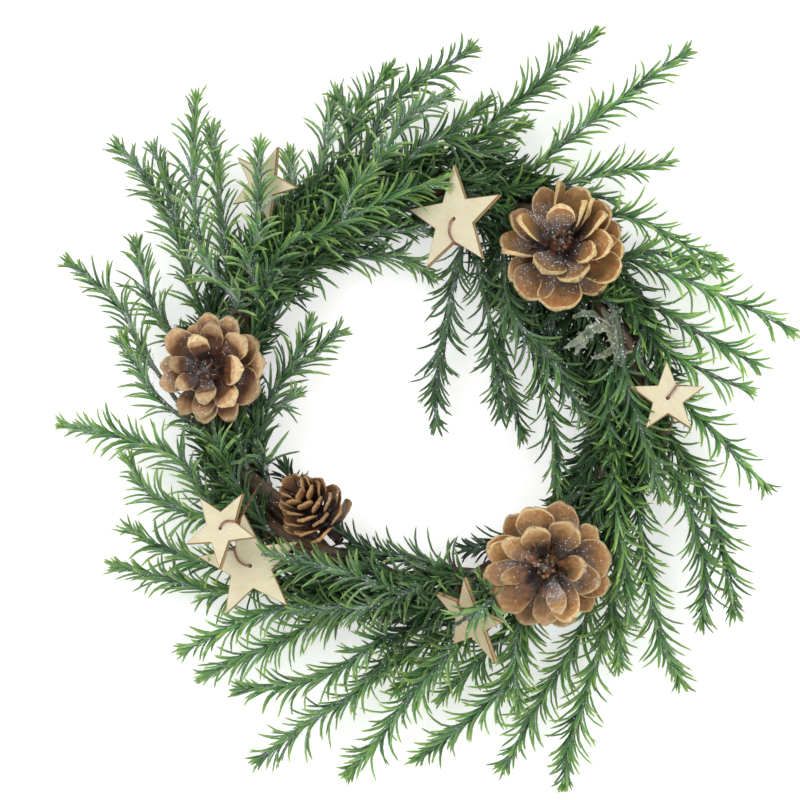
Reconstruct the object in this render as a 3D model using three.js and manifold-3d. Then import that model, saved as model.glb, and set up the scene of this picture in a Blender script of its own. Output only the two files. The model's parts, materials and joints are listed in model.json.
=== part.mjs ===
// Pine wreath of about 340 mm, lying flat with its face up.
// A ring of twisted vine canes carries moulded pine sprays, four pine cones, six plywood stars
// on wires and a tuft of lichen. Lengths are millimetres, angles are degrees and +Z is up.
// The origin is the middle of the wreath's outline, on the surface it lies on.
import * as THREE from "three";
import { mergeVertices } from "three/addons/utils/BufferGeometryUtils.js";
import Module from "manifold-3d";

const wasm = await Module();
wasm.setup();

// Driving dimensions

const clearance = 0.3; // between pieces that touch on the real wreath
const ring = {
  centre: [1, 10],
  radius: 92.5, // to the middle of the bundle
  strands: 3,
  turns: 5, // twist of the canes in one trip round
  caneRadius: 4.85,
  caneOffset: 6.15, // cane to middle of the bundle
  phase: 20,
  flat: 0.9, // depth of the worn flats under the lowest canes
  sides: 6,
  steps: 45,
};
ring.height = ring.caneRadius + ring.caneOffset - ring.flat;

const stemShape = {
  rootRadius: 1.3,
  radius: 1.55, // past the root
  tipRadius: 1.1,
  sides: 4,
  rideHeight: 12.9, // stem to middle of the bundle, where it lies on the canes
  shortStep: 8,
  longStep: 25,
};

const needleShape = {
  length: 15.5,
  radius: 0.75,
  spacing: 9.8,
  bareRoot: 20,
  splayAtRoot: 54,
  splayAtTip: 36,
  goldenAngle: 137.5,
  highest: 54, // the cones stand about as high
};

const bindingWire = { radius: 0.5, places: [158, 278, 350], sides: 4, steps: 16 };

const starShape = {
  waist: 0.41, // notch radius as a share of the tip radius
  thickness: 2.4,
  holeRadius: 0.8,
  wireRadius: 0.4,
  wireSides: 4,
};

// Stars: middle, reach of the tips, direction of the first tip, the direction it leans in and by
// how much, the notch that its wire passes over and how far it bows aside on the way, and either
// the ring angle, clock angle and sink of the wire's end on a cane or the points of its tail
const stars = [
  { name: "star_top", at: [12.5, 87.8, 37], reach: 25.8, firstTip: 90, lean: [160, 35], notch: 2,
    bow: -2.4, anchor: [86, 100, 0.2] },
  { name: "star_left_front", at: [-94.2, -53.4, 40], reach: 18.9, firstTip: 125, lean: [154, 30],
    notch: 3, bow: 1.8, anchor: [209, 105, 0.6] },
  { name: "star_left_back", at: [-81.1, -70.7, 27], reach: 25.4, firstTip: 98, lean: [176, 14],
    notch: 0, bow: 2.4, anchor: [223, 45, 0.8] },
  { name: "star_right", at: [109.5, 5.9, 36.5], reach: 17.9, firstTip: 91, lean: [75, 17], notch: 4,
    tail: [[112, -3, 31], [111.5, -9, 27.5], [106, -10, 23.5], [102.4, -6.4, 20.8]] },
  { name: "star_bottom", at: [19.7, -94.9, 36], reach: 22.8, firstTip: 98, lean: [212, 56], notch: 0,
    anchor: [279, 60, 0.1] },
  { name: "star_top_left", at: [-75.2, 104.3, 26], reach: 18.4, firstTip: 68, lean: [177, 30],
    notch: 2, anchor: [139, 0, 1.2] },
];

// Cones: foot of the axis, direction and angle of its lean, height and reach. The scales of the
// big ones are listed as they lie round the axis: direction, reach, lift, width and roll.
const cones = [
  { name: "cone_top_right", foot: [62, 73, 19.9], lean: [105, 11], reach: 30, height: 37, seed: 5,
    scales: [
      [265, 28.4, 12, 21], [231, 29.6, 10, 19.5], [186, 27.5, 16, 12, 55],
      [172, 29, 8, 13, 20], [146, 28.4, 12, 14, 25], [108, 29.4, 12, 13, 10], [93, 29.4, 20, 9, 65],
      [70, 29.4, 12, 15, -15], [54, 25.5, 22, 8, -60], [40, 28.6, 12, 17, -15], [19, 28.6, 8, 14],
      [356, 28.6, 8, 14], [335, 29.4, 10, 17], [312, 27.6, 8, 16], [357, 23.4, 28, 14.5],
      [335, 17, 38, 11], [291, 19.8, 30, 16], [240, 17, 36, 16.5], [152, 22.4, 30, 13, 45],
      [31, 24.4, 26, 13, -55], [88, 14.6, 46, 13],
    ] },
  { name: "cone_bottom_right", foot: [56.5, -70, 19.6], lean: [200, 7], reach: 30.3, height: 36,
    seed: 9, scales: [
      [78, 30, 8, 17], [109, 28.4, 18, 17.5], [131, 29.4, 6, 14], [163, 30, 8, 15],
      [188, 29, 22, 12], [206, 29.8, 6, 15], [221, 29, 20, 17],
      [246, 30, 6, 16], [268, 27.2, 16, 13], [287, 29.2, 8, 16],
      [315, 28.4, 6, 13], [340, 29.6, 6, 15], [9, 29, 8, 20],
      [39, 27.8, 6, 14], [58, 23.6, 26, 15.5], [108, 19.6, 36, 13.5], [147, 22.6, 34, 10.5],
      [195, 20.8, 36, 8], [6, 18.8, 38, 11.5], [290, 22, 34, 9],
    ] },
  { name: "cone_left", foot: [-97, 19, 19.75], lean: [175, 12], reach: 26, height: 32, seed: 14,
    scales: [
      [93, 26, 12, 11.5], [69, 26, 10, 12.5], [32, 25, 8, 14], [9, 24.4, 6, 17], [331, 24.4, 8, 18],
      [291, 25.4, 8, 11], [260, 24.8, 11, 11], [237, 24.4, 18, 9.5], [196, 24.4, 15, 10.5],
      [175, 24, 12, 10], [139, 26, 14, 14.5], [116, 23, 6, 12], [82, 21.4, 26, 10.5],
      [37, 22.8, 24, 13.5], [0, 17.4, 34, 14], [308, 20.2, 26, 12.5], [261, 22.4, 22, 11],
      [210, 15.2, 34, 8], [104, 14.8, 42, 10], [275, 15.2, 42, 9.5],
    ] },
  { name: "cone_small", foot: [-44.5, -54.9, 19.3], lean: [129, 49], reach: 19.4, height: 40,
    seed: 21, count: 16, opening: 22, slim: 0.8, stalk: 9 },
];

// Lichen tuft: pointed lobes that share their broad roots
const lichen = {
  raise: -2.7,
  flatten: 0.42,
  lobes: [
    { points: [[80, 48, 22], [83, 42, 23.5], [85, 36, 24.5], [86.5, 30, 24.5], [86, 23.5, 26]],
      radii: [0.9, 2.4, 3, 2.4, 0.5] },
    { points: [[83, 41, 24], [86, 44.5, 26], [89.5, 47.5, 28]], radii: [2, 1.4, 0.5] },
    { points: [[86, 30, 24.5], [89.5, 27, 26], [94, 27.5, 27.5]], radii: [2.2, 1.5, 0.5] },
    { points: [[85, 37, 25], [79, 38.5, 27], [74.5, 37, 27.5], [71, 32, 27], [67.5, 26, 25.5]],
      radii: [2.4, 2.6, 2.8, 2.4, 0.5] },
    { points: [[74, 36, 27.5], [68, 32, 28], [62.5, 29, 27.5]], radii: [2.2, 1.8, 0.5] },
    { points: [[84, 39, 25], [77, 44, 26.5], [72, 45, 27], [66.5, 43.5, 26.5]],
      radii: [2, 1.6, 1.8, 0.5] },
    { points: [[86, 29, 24.5], [81, 26, 25], [75.5, 24.5, 24.5]], radii: [1.8, 1.7, 0.5] },
  ],
};

// Pine sprays. Each has the ring angle where it comes out from between two canes, and the clock
// angle round the bundle nearest to that place: 0 is outwards, 90 is up and 180 is towards the
// hole. Each stem has points along it, and a side stem starts from a numbered point of the first.
const sprays = [
  { name: "left_high", root: [204, 62], stems: [
    { points: [[-95, -19, 25], [-107, -6, 24], [-122, 15, 24], [-132, 31, 26], [-140, 47, 29],
      [-150, 57, 32], [-160, 65, 34]] },
    { from: 1, points: [[-116, 0, 30], [-126, 10, 32], [-133, 22, 33], [-138, 30, 34]] },
  ] },
  { name: "left_short", root: [176, 6], stems: [
    { points: [[-103, 28, 12], [-115, 34, 13], [-124, 45, 17], [-129, 57, 20], [-133, 74, 24]] },
  ] },
  { name: "left_tall", root: [169, 10], stems: [
    { points: [[-100, 40, 13], [-107, 53, 14], [-112, 71, 16], [-118, 88, 18], [-126, 102, 21],
      [-133, 112, 24], [-139, 118, 26]] },
    { from: 2, points: [[-117, 96, 24], [-121, 107, 26], [-124, 116, 28]] },
  ] },
  { name: "left_spire", root: [162, 74], stems: [
    { points: [[-87, 50, 25], [-98, 63, 25], [-105, 82, 27], [-107, 99, 30], [-107, 116, 32],
      [-106, 139, 34]] },
    { from: 0, points: [[-90, 61, 18], [-93, 77, 18], [-95, 92, 19], [-97, 108, 20], [-99, 125, 21]] },
  ] },
  { name: "star_left_front_spray", root: [157, 130], stems: [
    { points: [[-81, 63, 25], [-82, 69, 29], [-78, 81, 34], [-77, 94, 38], [-77, 107, 39],
      [-77, 118, 39]] },
  ] },
  { name: "left_top", root: [138, 50], stems: [
    { points: [[-69, 77, 16], [-60, 91, 18], [-52, 105, 21], [-47, 121, 24], [-45, 137, 26]] },
    { from: 0, points: [[-66, 89, 22], [-63, 101, 23], [-63, 114, 23]] },
  ] },
  { name: "top_left", root: [131, 20], stems: [
    { points: [[-59, 85, 12], [-49, 98, 12], [-41, 113, 14], [-35, 128, 17], [-29, 142, 20],
      [-20, 154, 23]] },
    { from: 3, points: [[-37, 136, 22], [-40, 142, 25]] },
  ] },
  { name: "top_sweep", root: [134, 150], stems: [
    { points: [[-53, 90, 20], [-39, 105, 18], [-28, 120, 20], [-22, 134, 23], [-12, 146, 26],
      [2, 154, 29], [17, 164, 32]] },
  ] },
  { name: "top_frosted", root: [126, 100], stems: [
    { points: [[-38, 98, 27], [-27, 109, 29], [-18, 122, 30], [-12, 132, 32], [-3, 139, 34],
      [6, 143, 35]] },
  ] },
  { name: "top_bright", root: [147, 90], stems: [
    { points: [[-64, 77, 29], [-53, 81, 31], [-40, 86, 33], [-26, 94, 34], [-10, 101, 34],
      [3, 104, 34]] },
    { from: 2, points: [[-35, 98, 38], [-28, 108, 40]] },
  ] },
  { name: "inner_top_left", root: [146, 200], stems: [
    { points: [[-66, 61, 14], [-58, 66, 13], [-43, 70, 13], [-27, 72, 13], [-13, 71, 12],
      [-2, 65, 11]] },
    { from: 1, points: [[-41, 77, 19], [-26, 81, 20], [-10, 84, 20], [2, 83, 20]] },
  ] },
  { name: "top_long", root: [98, 9], stems: [
    { points: [[-2, 111, 12], [10, 117, 13], [23, 126, 15], [35, 137, 18], [46, 146, 21],
      [59, 158, 24], [74, 171, 27]] },
    { from: 2, points: [[33, 127, 11], [40, 130, 10]] },
  ] },
  { name: "top_short", root: [107, 60], stems: [
    { points: [[-17, 108, 23], [-7, 118, 24], [6, 126, 25], [16, 132, 26], [24, 139, 27]] },
    { from: 2, points: [[19, 120, 20], [33, 120, 18]] },
  ] },
  { name: "top_right_long", root: [79, 2], stems: [
    { points: [[31, 109, 11], [46, 111, 12], [58, 120, 14], [73, 132, 17], [87, 142, 20],
      [101, 153, 24], [116, 163, 27]] },
  ] },
  { name: "right_top", root: [66, 10], stems: [
    { points: [[54, 102, 13], [69, 106, 15], [85, 110, 18], [99, 112, 20], [108, 114, 21]] },
    { from: 0, points: [[73, 100, 10], [83, 98, 9]] },
  ] },
  { name: "right_high", root: [53, 13], stems: [
    { points: [[74, 88, 14], [87, 90, 18], [101, 86, 21], [115, 78, 23], [129, 72, 24]] },
  ] },
  { name: "right_wide", root: [42, 357], stems: [
    { points: [[87, 72, 10], [102, 67, 12], [120, 60, 14], [137, 52, 17], [151, 46, 20],
      [164, 39, 22]] },
    { from: 0, points: [[102, 74, 8], [118, 70, 7], [132, 66, 7]] },
  ] },
  { name: "right_mid", root: [31, 6], stems: [
    { points: [[96, 54, 12], [108, 47, 14], [125, 36, 17], [138, 29, 20], [150, 22, 22]] },
    { from: 0, points: [[98, 40, 17], [111, 28, 19], [126, 19, 20], [144, 11, 21]] },
  ] },
  { name: "right_low", root: [16, 70], stems: [
    { points: [[96, 26, 21], [104, 15, 22], [117, 4, 23], [129, -7, 24], [142, -21, 26],
      [153, -32, 28]] },
  ] },
  { name: "right_down", root: [1, 9], stems: [
    { points: [[102, 2, 12], [113, -15, 13], [124, -31, 15], [132, -50, 18], [137, -70, 20],
      [140, -88, 22]] },
    { from: 0, points: [[106, -16, 19], [116, -34, 22], [123, -55, 24], [127, -73, 26],
      [126, -92, 28]] },
  ] },
  { name: "right_lower", root: [349, 35], stems: [
    { points: [[98, -20, 17], [97, -36, 17], [98, -55, 17], [101, -73, 18], [104, -91, 20],
      [108, -107, 22], [115, -121, 24]] },
  ] },
  { name: "right_front", root: [27, 94], stems: [
    { points: [[87, 41, 27], [89, 28, 30], [91, 12, 32], [96, -4, 33], [101, -19, 34],
      [106, -35, 35]] },
    { from: 1, points: [[84, 16, 28], [83, 1, 28], [85, -16, 28]] },
  ] },
  { name: "inner_right", root: [6, 130], stems: [
    { points: [[81, 9, 17], [77, -6, 16], [75, -22, 15], [75, -35, 14]] },
  ] },
  { name: "right_short", root: [341, 79], stems: [
    { points: [[87, -31, 25], [87, -46, 26], [89, -62, 26], [91, -77, 26], [92, -92, 26]] },
  ] },
  { name: "low_right_long", root: [330, 25], stems: [
    { points: [[85, -51, 16], [88, -67, 14], [85, -86, 13], [80, -107, 15], [73, -129, 18],
      [66, -150, 21], [63, -169, 24]] },
    { from: 2, points: [[87, -101, 19], [88, -112, 21]] },
  ] },
  { name: "low_right", root: [321, 352], stems: [
    { points: [[77, -71, 8], [74, -93, 8], [65, -113, 9], [54, -129, 11], [46, -144, 13],
      [37, -160, 15]] },
  ] },
  { name: "low_mid", root: [302, 28], stems: [
    { points: [[47, -86, 18], [41, -102, 20], [40, -119, 22], [41, -133, 24]] },
    { from: 0, points: [[44, -106, 12], [37, -124, 12], [25, -137, 13], [11, -148, 15],
      [-1, -157, 17]] },
  ] },
  { name: "low_left_long", root: [290, 5], stems: [
    { points: [[21, -96, 12], [11, -110, 13], [-1, -123, 15], [-12, -136, 18], [-22, -150, 21],
      [-34, -163, 24]] },
  ] },
  { name: "low_sweep", root: [273, 355], stems: [
    { points: [[-10, -102, 9], [-19, -114, 14], [-33, -129, 17], [-49, -139, 19], [-63, -149, 21],
      [-75, -158, 23]] },
    { from: 0, points: [[-24, -106, 22], [-36, -115, 24], [-51, -122, 26], [-66, -126, 28],
      [-82, -127, 29]] },
  ] },
  { name: "low_left", root: [257, 3], stems: [
    { points: [[-31, -85, 11], [-46, -95, 11], [-59, -101, 12], [-73, -108, 13], [-87, -114, 14],
      [-100, -120, 15]] },
    { from: 0, points: [[-47, -85, 17], [-61, -89, 19], [-77, -93, 21], [-92, -100, 22],
      [-107, -107, 23]] },
  ] },
  { name: "left_bottom", root: [232, 2], stems: [
    { points: [[-70, -64, 11], [-80, -79, 11], [-95, -83, 12], [-112, -79, 14], [-128, -75, 16],
      [-139, -72, 18]] },
    { from: 0, points: [[-87, -69, 16], [-100, -70, 17], [-113, -66, 18], [-125, -61, 20],
      [-134, -56, 22]] },
  ] },
  { name: "left_far", root: [218, 16], stems: [
    { points: [[-87, -46, 14], [-95, -47, 15], [-108, -47, 18], [-120, -42, 22], [-130, -35, 25],
      [-136, -25, 28]] },
    { from: 1, points: [[-104, -36, 18], [-113, -24, 20], [-123, -18, 22], [-139, -12, 24],
      [-152, -9, 26], [-163, -7, 28]] },
  ] },
  { name: "inner_left", root: [202, 148], stems: [
    { points: [[-78, -13, 17], [-74, 2, 17], [-68, 13, 17], [-57, 23, 17], [-44, 34, 17]] },
    { from: 1, points: [[-67, 3, 22], [-63, 6, 24]] },
    { from: 2, points: [[-59, 28, 22], [-55, 37, 24]] },
  ] },
  { name: "inner_top_drop", root: [86, 169], stems: [
    { points: [[16, 83, 14], [14, 69, 14], [11, 55, 14], [9, 41, 14], [6, 26, 14], [4, 11, 14],
      [4, -2, 14]] },
    { from: 0, points: [[22, 72, 18], [26, 56, 19], [29, 38, 19], [31, 20, 19], [33, 2, 19]] },
  ] },
  { name: "inner_right_drop", root: [72, 157], stems: [
    { points: [[34, 75, 19], [36, 56, 22], [42, 40, 24], [49, 27, 25], [54, 9, 26], [57, -9, 26],
      [59, -30, 26]] },
    { from: 1, points: [[34, 35, 15], [35, 18, 14], [39, 5, 14], [42, -6, 14]] },
    { from: 2, points: [[56, 25, 30], [64, 11, 32], [69, 1, 33]] },
  ] },
  { name: "low_front", root: [271, 86], stems: [
    { points: [[-9, -83, 27], [-20, -80, 31], [-34, -75, 35], [-50, -70, 38], [-65, -67, 40],
      [-76, -65, 41]] },
    { from: 0, points: [[-26, -89, 28], [-42, -90, 29], [-59, -91, 30]] },
  ] },
  { name: "inner_low", root: [287, 104], stems: [
    { points: [[18, -78, 22], [10, -72, 18], [-1, -69, 17], [-16, -66, 17], [-30, -65, 17]] },
    { from: 0, winding: true, points: [[25, -81, 33], [28, -85, 42], [25.5, -88, 48],
      [21, -91.5, 48.5], [16, -95, 44], [12, -98, 38]] },
  ] },
];

// Small helpers

const radians = THREE.MathUtils.degToRad;
const vec = (x, y, z) => new THREE.Vector3(x, y, z);

// Seeded random numbers, so that the wreath is the same each time.
function seededRandom(seed) {
  let state = seed * 7919 + 17;
  return () => {
    state = (state * 1664525 + 1013904223) % 4294967296;
    return state / 4294967296;
  };
}

function solidFrom(positions, faces) {
  const geometry = new THREE.BufferGeometry();
  geometry.setAttribute("position", new THREE.Float32BufferAttribute(positions, 3));
  geometry.setIndex(faces);
  return toSolid(geometry);
}

function toSolid(geometry) {
  geometry.deleteAttribute("normal");
  geometry.deleteAttribute("uv");
  const merged = mergeVertices(geometry, 1e-4);
  return new wasm.Manifold(new wasm.Mesh({
    numProp: 3,
    vertProperties: merged.attributes.position.array,
    triVerts: new Uint32Array(merged.index.array),
  }));
}

function toGeometry(solid) {
  const mesh = solid.getMesh();
  const geometry = new THREE.BufferGeometry();
  const positions = new Float32Array(mesh.numVert * 3);
  for (let i = 0; i < mesh.numVert; i++) {
    positions.set(mesh.vertProperties.subarray(i * mesh.numProp, i * mesh.numProp + 3), i * 3);
  }
  geometry.setAttribute("position", new THREE.BufferAttribute(positions, 3));
  geometry.setIndex(new THREE.BufferAttribute(mesh.triVerts, 1));
  return geometry;
}

const fuse = (solids) => solids.reduce((whole, piece) => whole.add(piece));

// Two directions across the line at each of its points. The first looks towards the hint: without
// one it is carried along the line.
function framesAlong(points, closed, hint) {
  const count = points.length;
  let side = null;
  return points.map((point, i) => {
    const before = points[closed ? (i + count - 1) % count : Math.max(i - 1, 0)];
    const after = points[closed ? (i + 1) % count : Math.min(i + 1, count - 1)];
    const along = after.clone().sub(before).normalize();
    const guide = hint || side || leastAligned(along);
    side = guide.clone().addScaledVector(along, -guide.dot(along)).normalize();
    return { along, side, up: along.clone().cross(side) };
  });
}

// A tube through the points. Each section has its own radius, and may be flattened.
function tube(points, radii, sides, { closed = false, hint = null, flatten = 1 } = {}) {
  const count = points.length;
  const positions = [];
  const faces = [];
  framesAlong(points, closed, hint).forEach(({ side, up }, i) => {
    for (let k = 0; k < sides; k++) {
      const turn = (2 * Math.PI * k) / sides;
      const corner = points[i].clone()
        .addScaledVector(side, radii[i] * Math.cos(turn))
        .addScaledVector(up, radii[i] * flatten * Math.sin(turn));
      positions.push(...corner.toArray());
    }
  });
  const lengths = closed ? count : count - 1;
  for (let i = 0; i < lengths; i++) {
    for (let k = 0; k < sides; k++) {
      const a = i * sides + k;
      const b = i * sides + ((k + 1) % sides);
      const d = ((i + 1) % count) * sides + k;
      const c = ((i + 1) % count) * sides + ((k + 1) % sides);
      faces.push(a, b, c, a, c, d);
    }
  }
  if (!closed) {
    const last = (count - 1) * sides;
    for (let k = 1; k < sides - 1; k++) {
      faces.push(0, k + 1, k, last, last + k, last + k + 1);
    }
  }
  return solidFrom(positions, faces);
}

function leastAligned(direction) {
  const [x, y, z] = direction.toArray().map(Math.abs);
  if (z <= x && z <= y) return vec(0, 0, 1);
  return y <= x ? vec(0, 1, 0) : vec(1, 0, 0);
}

// Points of one smooth curve through the given ones, close together at first and further apart
// after the first stretch.
function smoothPoints(points, shortStep, longStep, shortStretch) {
  const curve = new THREE.CatmullRomCurve3(points, false, "catmullrom", 0.5);
  curve.arcLengthDivisions = 400;
  const length = curve.getLength();
  const places = [0];
  while (places.at(-1) < length - 1e-6) {
    const step = places.at(-1) < shortStretch ? shortStep : longStep;
    const next = places.at(-1) + step;
    places.push(length - next < step * 0.5 ? length : next);
  }
  return places.map((place) => curve.getPointAt(Math.min(place / length, 1)));
}

// An upright axis that leans in one direction by an angle.
function leaningAxis(lean) {
  const [towards, angle] = lean.map(radians);
  return vec(Math.sin(angle) * Math.cos(towards), Math.sin(angle) * Math.sin(towards), Math.cos(angle));
}

// Shortest distance between the stretches a to b and c to d.
function stretchDistance(a, b, c, d) {
  const u = b.clone().sub(a);
  const v = d.clone().sub(c);
  const w = a.clone().sub(c);
  const uu = u.dot(u);
  const uv = u.dot(v);
  const vv = v.dot(v);
  const uw = u.dot(w);
  const vw = v.dot(w);
  const clamp = (value) => Math.min(Math.max(value, 0), 1);
  const spread = uu * vv - uv * uv;
  let s = spread > 1e-9 ? clamp((uv * vw - vv * uw) / spread) : 0;
  const t = clamp((uv * s + vw) / vv);
  s = clamp((uv * t - uw) / uu);
  return a.clone().addScaledVector(u, s).distanceTo(c.clone().addScaledVector(v, t));
}

// Ring of twisted canes

// A place beside the bundle: ring angle, clock angle round the bundle and distance from its middle.
function besideRing(angle, clock, distance) {
  const reach = ring.radius + distance * Math.cos(radians(clock));
  return vec(
    ring.centre[0] + reach * Math.cos(radians(angle)),
    ring.centre[1] + reach * Math.sin(radians(angle)),
    ring.height + distance * Math.sin(radians(clock)),
  );
}

const caneClock = (angle, strand) => ring.turns * angle + ring.phase + (360 / ring.strands) * strand;

const difference = (a, b) => Math.abs(((a - b + 540) % 360) - 180);

// A place this far above the crest of a cane, less a sink: the cane whose clock angle is nearest.
function onCane([angle, clock, sink = 0], above) {
  const clocks = [0, 1, 2].map((strand) => caneClock(angle, strand));
  const [nearest] = clocks.sort((a, b) => difference(a, clock) - difference(b, clock));
  return besideRing(angle, nearest, ring.caneOffset + ring.caneRadius + above - sink);
}

function canePoints(strand, steps) {
  return Array.from({ length: steps }, (_, i) => {
    const angle = (360 * i) / steps;
    return besideRing(angle, caneClock(angle, strand), ring.caneOffset);
  });
}

const ground = toSolid(new THREE.BoxGeometry(400, 400, 40).translate(0, 0, -20));

function makeCane(strand) {
  const points = canePoints(strand, ring.steps);
  const radii = points.map((_, i) => ring.caneRadius - 0.12 * (1 + Math.sin(i * 1.7 + strand)));
  return tube(points, radii, ring.sides, { closed: true, hint: vec(0, 0, 1) }).subtract(ground);
}

// Stems of the sprays

// The root lies in the groove between two canes and climbs out of it clockwise.
function rootPoints([exit, clock]) {
  const grooves = [0, 1, 2].map((strand) => ({ strand, clock: caneClock(exit, strand) + 60 }));
  const [nearest] = grooves.sort((a, b) => difference(a.clock, clock) - difference(b.clock, clock));
  return [[9, 7], [6, 7.2], [2.5, 9], [0, 12.9]].map(([before, distance]) =>
    besideRing(exit + before, caneClock(exit + before, nearest.strand) + 60, distance));
}

// Past its root a stem lies on the canes, never in them.
function liftOffRing(point) {
  const flat = vec(point.x - ring.centre[0], point.y - ring.centre[1], 0);
  const middle = flat.clone().setLength(ring.radius).add(vec(ring.centre[0], ring.centre[1], ring.height));
  const away = point.clone().sub(middle);
  return away.length() < stemShape.rideHeight ? middle.add(away.setLength(stemShape.rideHeight)) : point;
}

function nearestOnLine(points, target) {
  const places = points.slice(1).map((point, i) =>
    new THREE.Line3(points[i], point).closestPointToPoint(target, true, vec(0, 0, 0)));
  return places.sort((a, b) => a.distanceTo(target) - b.distanceTo(target))[0];
}

// The trunk of a spray comes first, and its side stems start on it.
function stemLines(spray) {
  let trunk = null;
  return spray.stems.map((stem, i) => {
    const own = stem.points.map((point) => liftOffRing(vec(...point)));
    const fork = i > 0 && vec(...spray.stems[0].points[stem.from]);
    const start = i === 0 ? rootPoints(spray.root) : [nearestOnLine(trunk, liftOffRing(fork))];
    const shortStretch = i === 0 ? 32 : stem.winding ? 60 : 0;
    const smooth = smoothPoints([...start, ...own], stemShape.shortStep, stemShape.longStep, shortStretch);
    const rootLength = i === 0 ? 1 : 0;
    const points = smooth.map((point, k) => (k > rootLength ? liftOffRing(point) : point));
    trunk ??= points;
    const last = points.length - 1;
    const thick = i === 0 ? stemShape.radius : 1.3;
    const radii = points.map((_, k) => (i === 0 && k <= 2
      ? stemShape.rootRadius
      : THREE.MathUtils.lerp(thick, stemShape.tipRadius, k / last)));
    return { points, radii, bare: i === 0 ? needleShape.bareRoot : 3 };
  });
}

// Needles keep clear of everything that is not their own spray. Thin things are remembered as
// stretches between two ends, and the stars, cones and lichen by a test of their own.
const taken = [];
const solidTests = [];

function remember(owner, points, radii) {
  for (let i = 1; i < points.length; i++) {
    const [from, to] = [points[i - 1], points[i]];
    const radius = Math.max(radii[i - 1], radii[i]);
    const middle = from.clone().lerp(to, 0.5);
    taken.push({ owner, from, to, radius, middle, reach: from.distanceTo(to) / 2 + radius });
  }
}

function stretchIsFree(from, to, radius, owner, minOwnGap = 0) {
  if (Math.min(from.z, to.z) < radius + 0.2) return false;
  if (Math.max(from.z, to.z) > needleShape.highest) return false;
  const middle = from.clone().lerp(to, 0.5);
  const reach = from.distanceTo(to) / 2 + radius;
  for (const other of taken) {
    const limit = other.owner === owner ? minOwnGap : clearance;
    if (middle.distanceTo(other.middle) > reach + other.reach + limit) continue;
    const gap = stretchDistance(from, to, other.from, other.to) - radius - other.radius;
    if (gap < limit) return false;
  }
  for (let i = 0; i <= 6; i++) {
    const point = from.clone().lerp(to, i / 6);
    if (solidTests.some((touches) => touches(point, radius + clearance + 0.1))) return false;
  }
  return true;
}

// A straight pointed needle with its root in the middle of the stem.
function makeNeedle(root, tip, turn) {
  const along = tip.clone().sub(root).normalize();
  const side = leastAligned(along).cross(along).normalize();
  const up = along.clone().cross(side);
  const corners = [0, 1, 2].map((k) => root.clone()
    .addScaledVector(side, needleShape.radius * Math.cos(turn + (2 * Math.PI * k) / 3))
    .addScaledVector(up, needleShape.radius * Math.sin(turn + (2 * Math.PI * k) / 3)));
  const positions = [...corners, tip].flatMap((corner) => corner.toArray());
  return solidFrom(positions, [0, 2, 1, 0, 1, 3, 1, 2, 3, 2, 0, 3]);
}

// Where the needles of one stem start and end: they turn by the golden angle from one to the
// next, lean forward more towards the tip, and the last three close the tip.
function growNeedles(owner, line, random) {
  const distances = [0];
  for (let i = 1; i < line.points.length; i++) {
    distances.push(distances[i - 1] + line.points[i].distanceTo(line.points[i - 1]));
  }
  const total = distances.at(-1);
  const wanted = [];
  for (let place = line.bare; place < total - 3; place += needleShape.spacing * (0.9 + 0.2 * random())) {
    const splay = THREE.MathUtils.lerp(needleShape.splayAtRoot, needleShape.splayAtTip, place / total);
    const turn = wanted.length * needleShape.goldenAngle;
    wanted.push({ place, turn, splay: splay + 8 * (random() - 0.5) });
  }
  for (const turn of [0, 120, 240]) {
    wanted.push({ place: total - 0.8, turn: turn + 40 * random(), splay: 17 });
  }
  const start = 360 * random();
  const needles = [];
  const frames = framesAlong(line.points, false, null);
  for (const { place, turn, splay } of wanted) {
    const i = Math.max(1, distances.findIndex((distance) => distance >= place));
    const share = (place - distances[i - 1]) / (distances[i] - distances[i - 1]);
    const root = line.points[i - 1].clone().lerp(line.points[i], share);
    const along = line.points[i].clone().sub(line.points[i - 1]).normalize();
    const { side, up } = frames[i - 1];
    const atTip = place > total - 1 ? 0.57 : place > total - 12 ? 0.7 : 1;
    const size = needleShape.length * (0.88 + 0.24 * random()) * atTip;
    const face = 90 / (stemShape.sides / 4);
    const middle = Math.round((start + turn - face / 2) / face) * face + face / 2 + 14 * (random() - 0.5);
    for (const [swing, scale] of [[0, 1], [20, 1], [-20, 1], [0, 0.75], [90, 1], [-90, 1], [180, 0.75]]) {
      const around = radians(middle + swing);
      const tip = root.clone()
        .addScaledVector(along, size * scale * Math.cos(radians(splay)))
        .addScaledVector(side, size * scale * Math.sin(radians(splay)) * Math.cos(around))
        .addScaledVector(up, size * scale * Math.sin(radians(splay)) * Math.sin(around));
      const near = root.clone().lerp(tip, 0.3);
      const far = root.clone().lerp(tip, 0.62);
      if (!stretchIsFree(root, near, 0.7, owner, -99)) continue;
      if (!stretchIsFree(near, far, 0.6, owner) || !stretchIsFree(far, tip, 0.35, owner)) continue;
      needles.push({ root, near, far, tip, around });
      remember(owner, [near, far], [0.6, 0.45]);
      remember(owner, [far, tip], [0.35, 0.1]);
      break;
    }
  }
  return needles;
}

function makeSpray(spray, seed) {
  const random = seededRandom(seed);
  const pieces = [];
  for (const line of spray.lines) {
    pieces.push(tube(line.points, line.radii, stemShape.sides));
    for (const needle of growNeedles(spray.name, line, random)) {
      pieces.push(makeNeedle(needle.root, needle.tip, needle.around));
    }
  }
  return fuse(pieces);
}

// Stars

function starFrame(star) {
  const normal = leaningAxis(star.lean);
  const first = vec(Math.cos(radians(star.firstTip)), Math.sin(radians(star.firstTip)), 0);
  first.z = -(normal.x * first.x + normal.y * first.y) / normal.z;
  first.normalize();
  const second = normal.clone().cross(first);
  return new THREE.Matrix4().makeBasis(first, second, normal).setPosition(...star.at);
}

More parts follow.
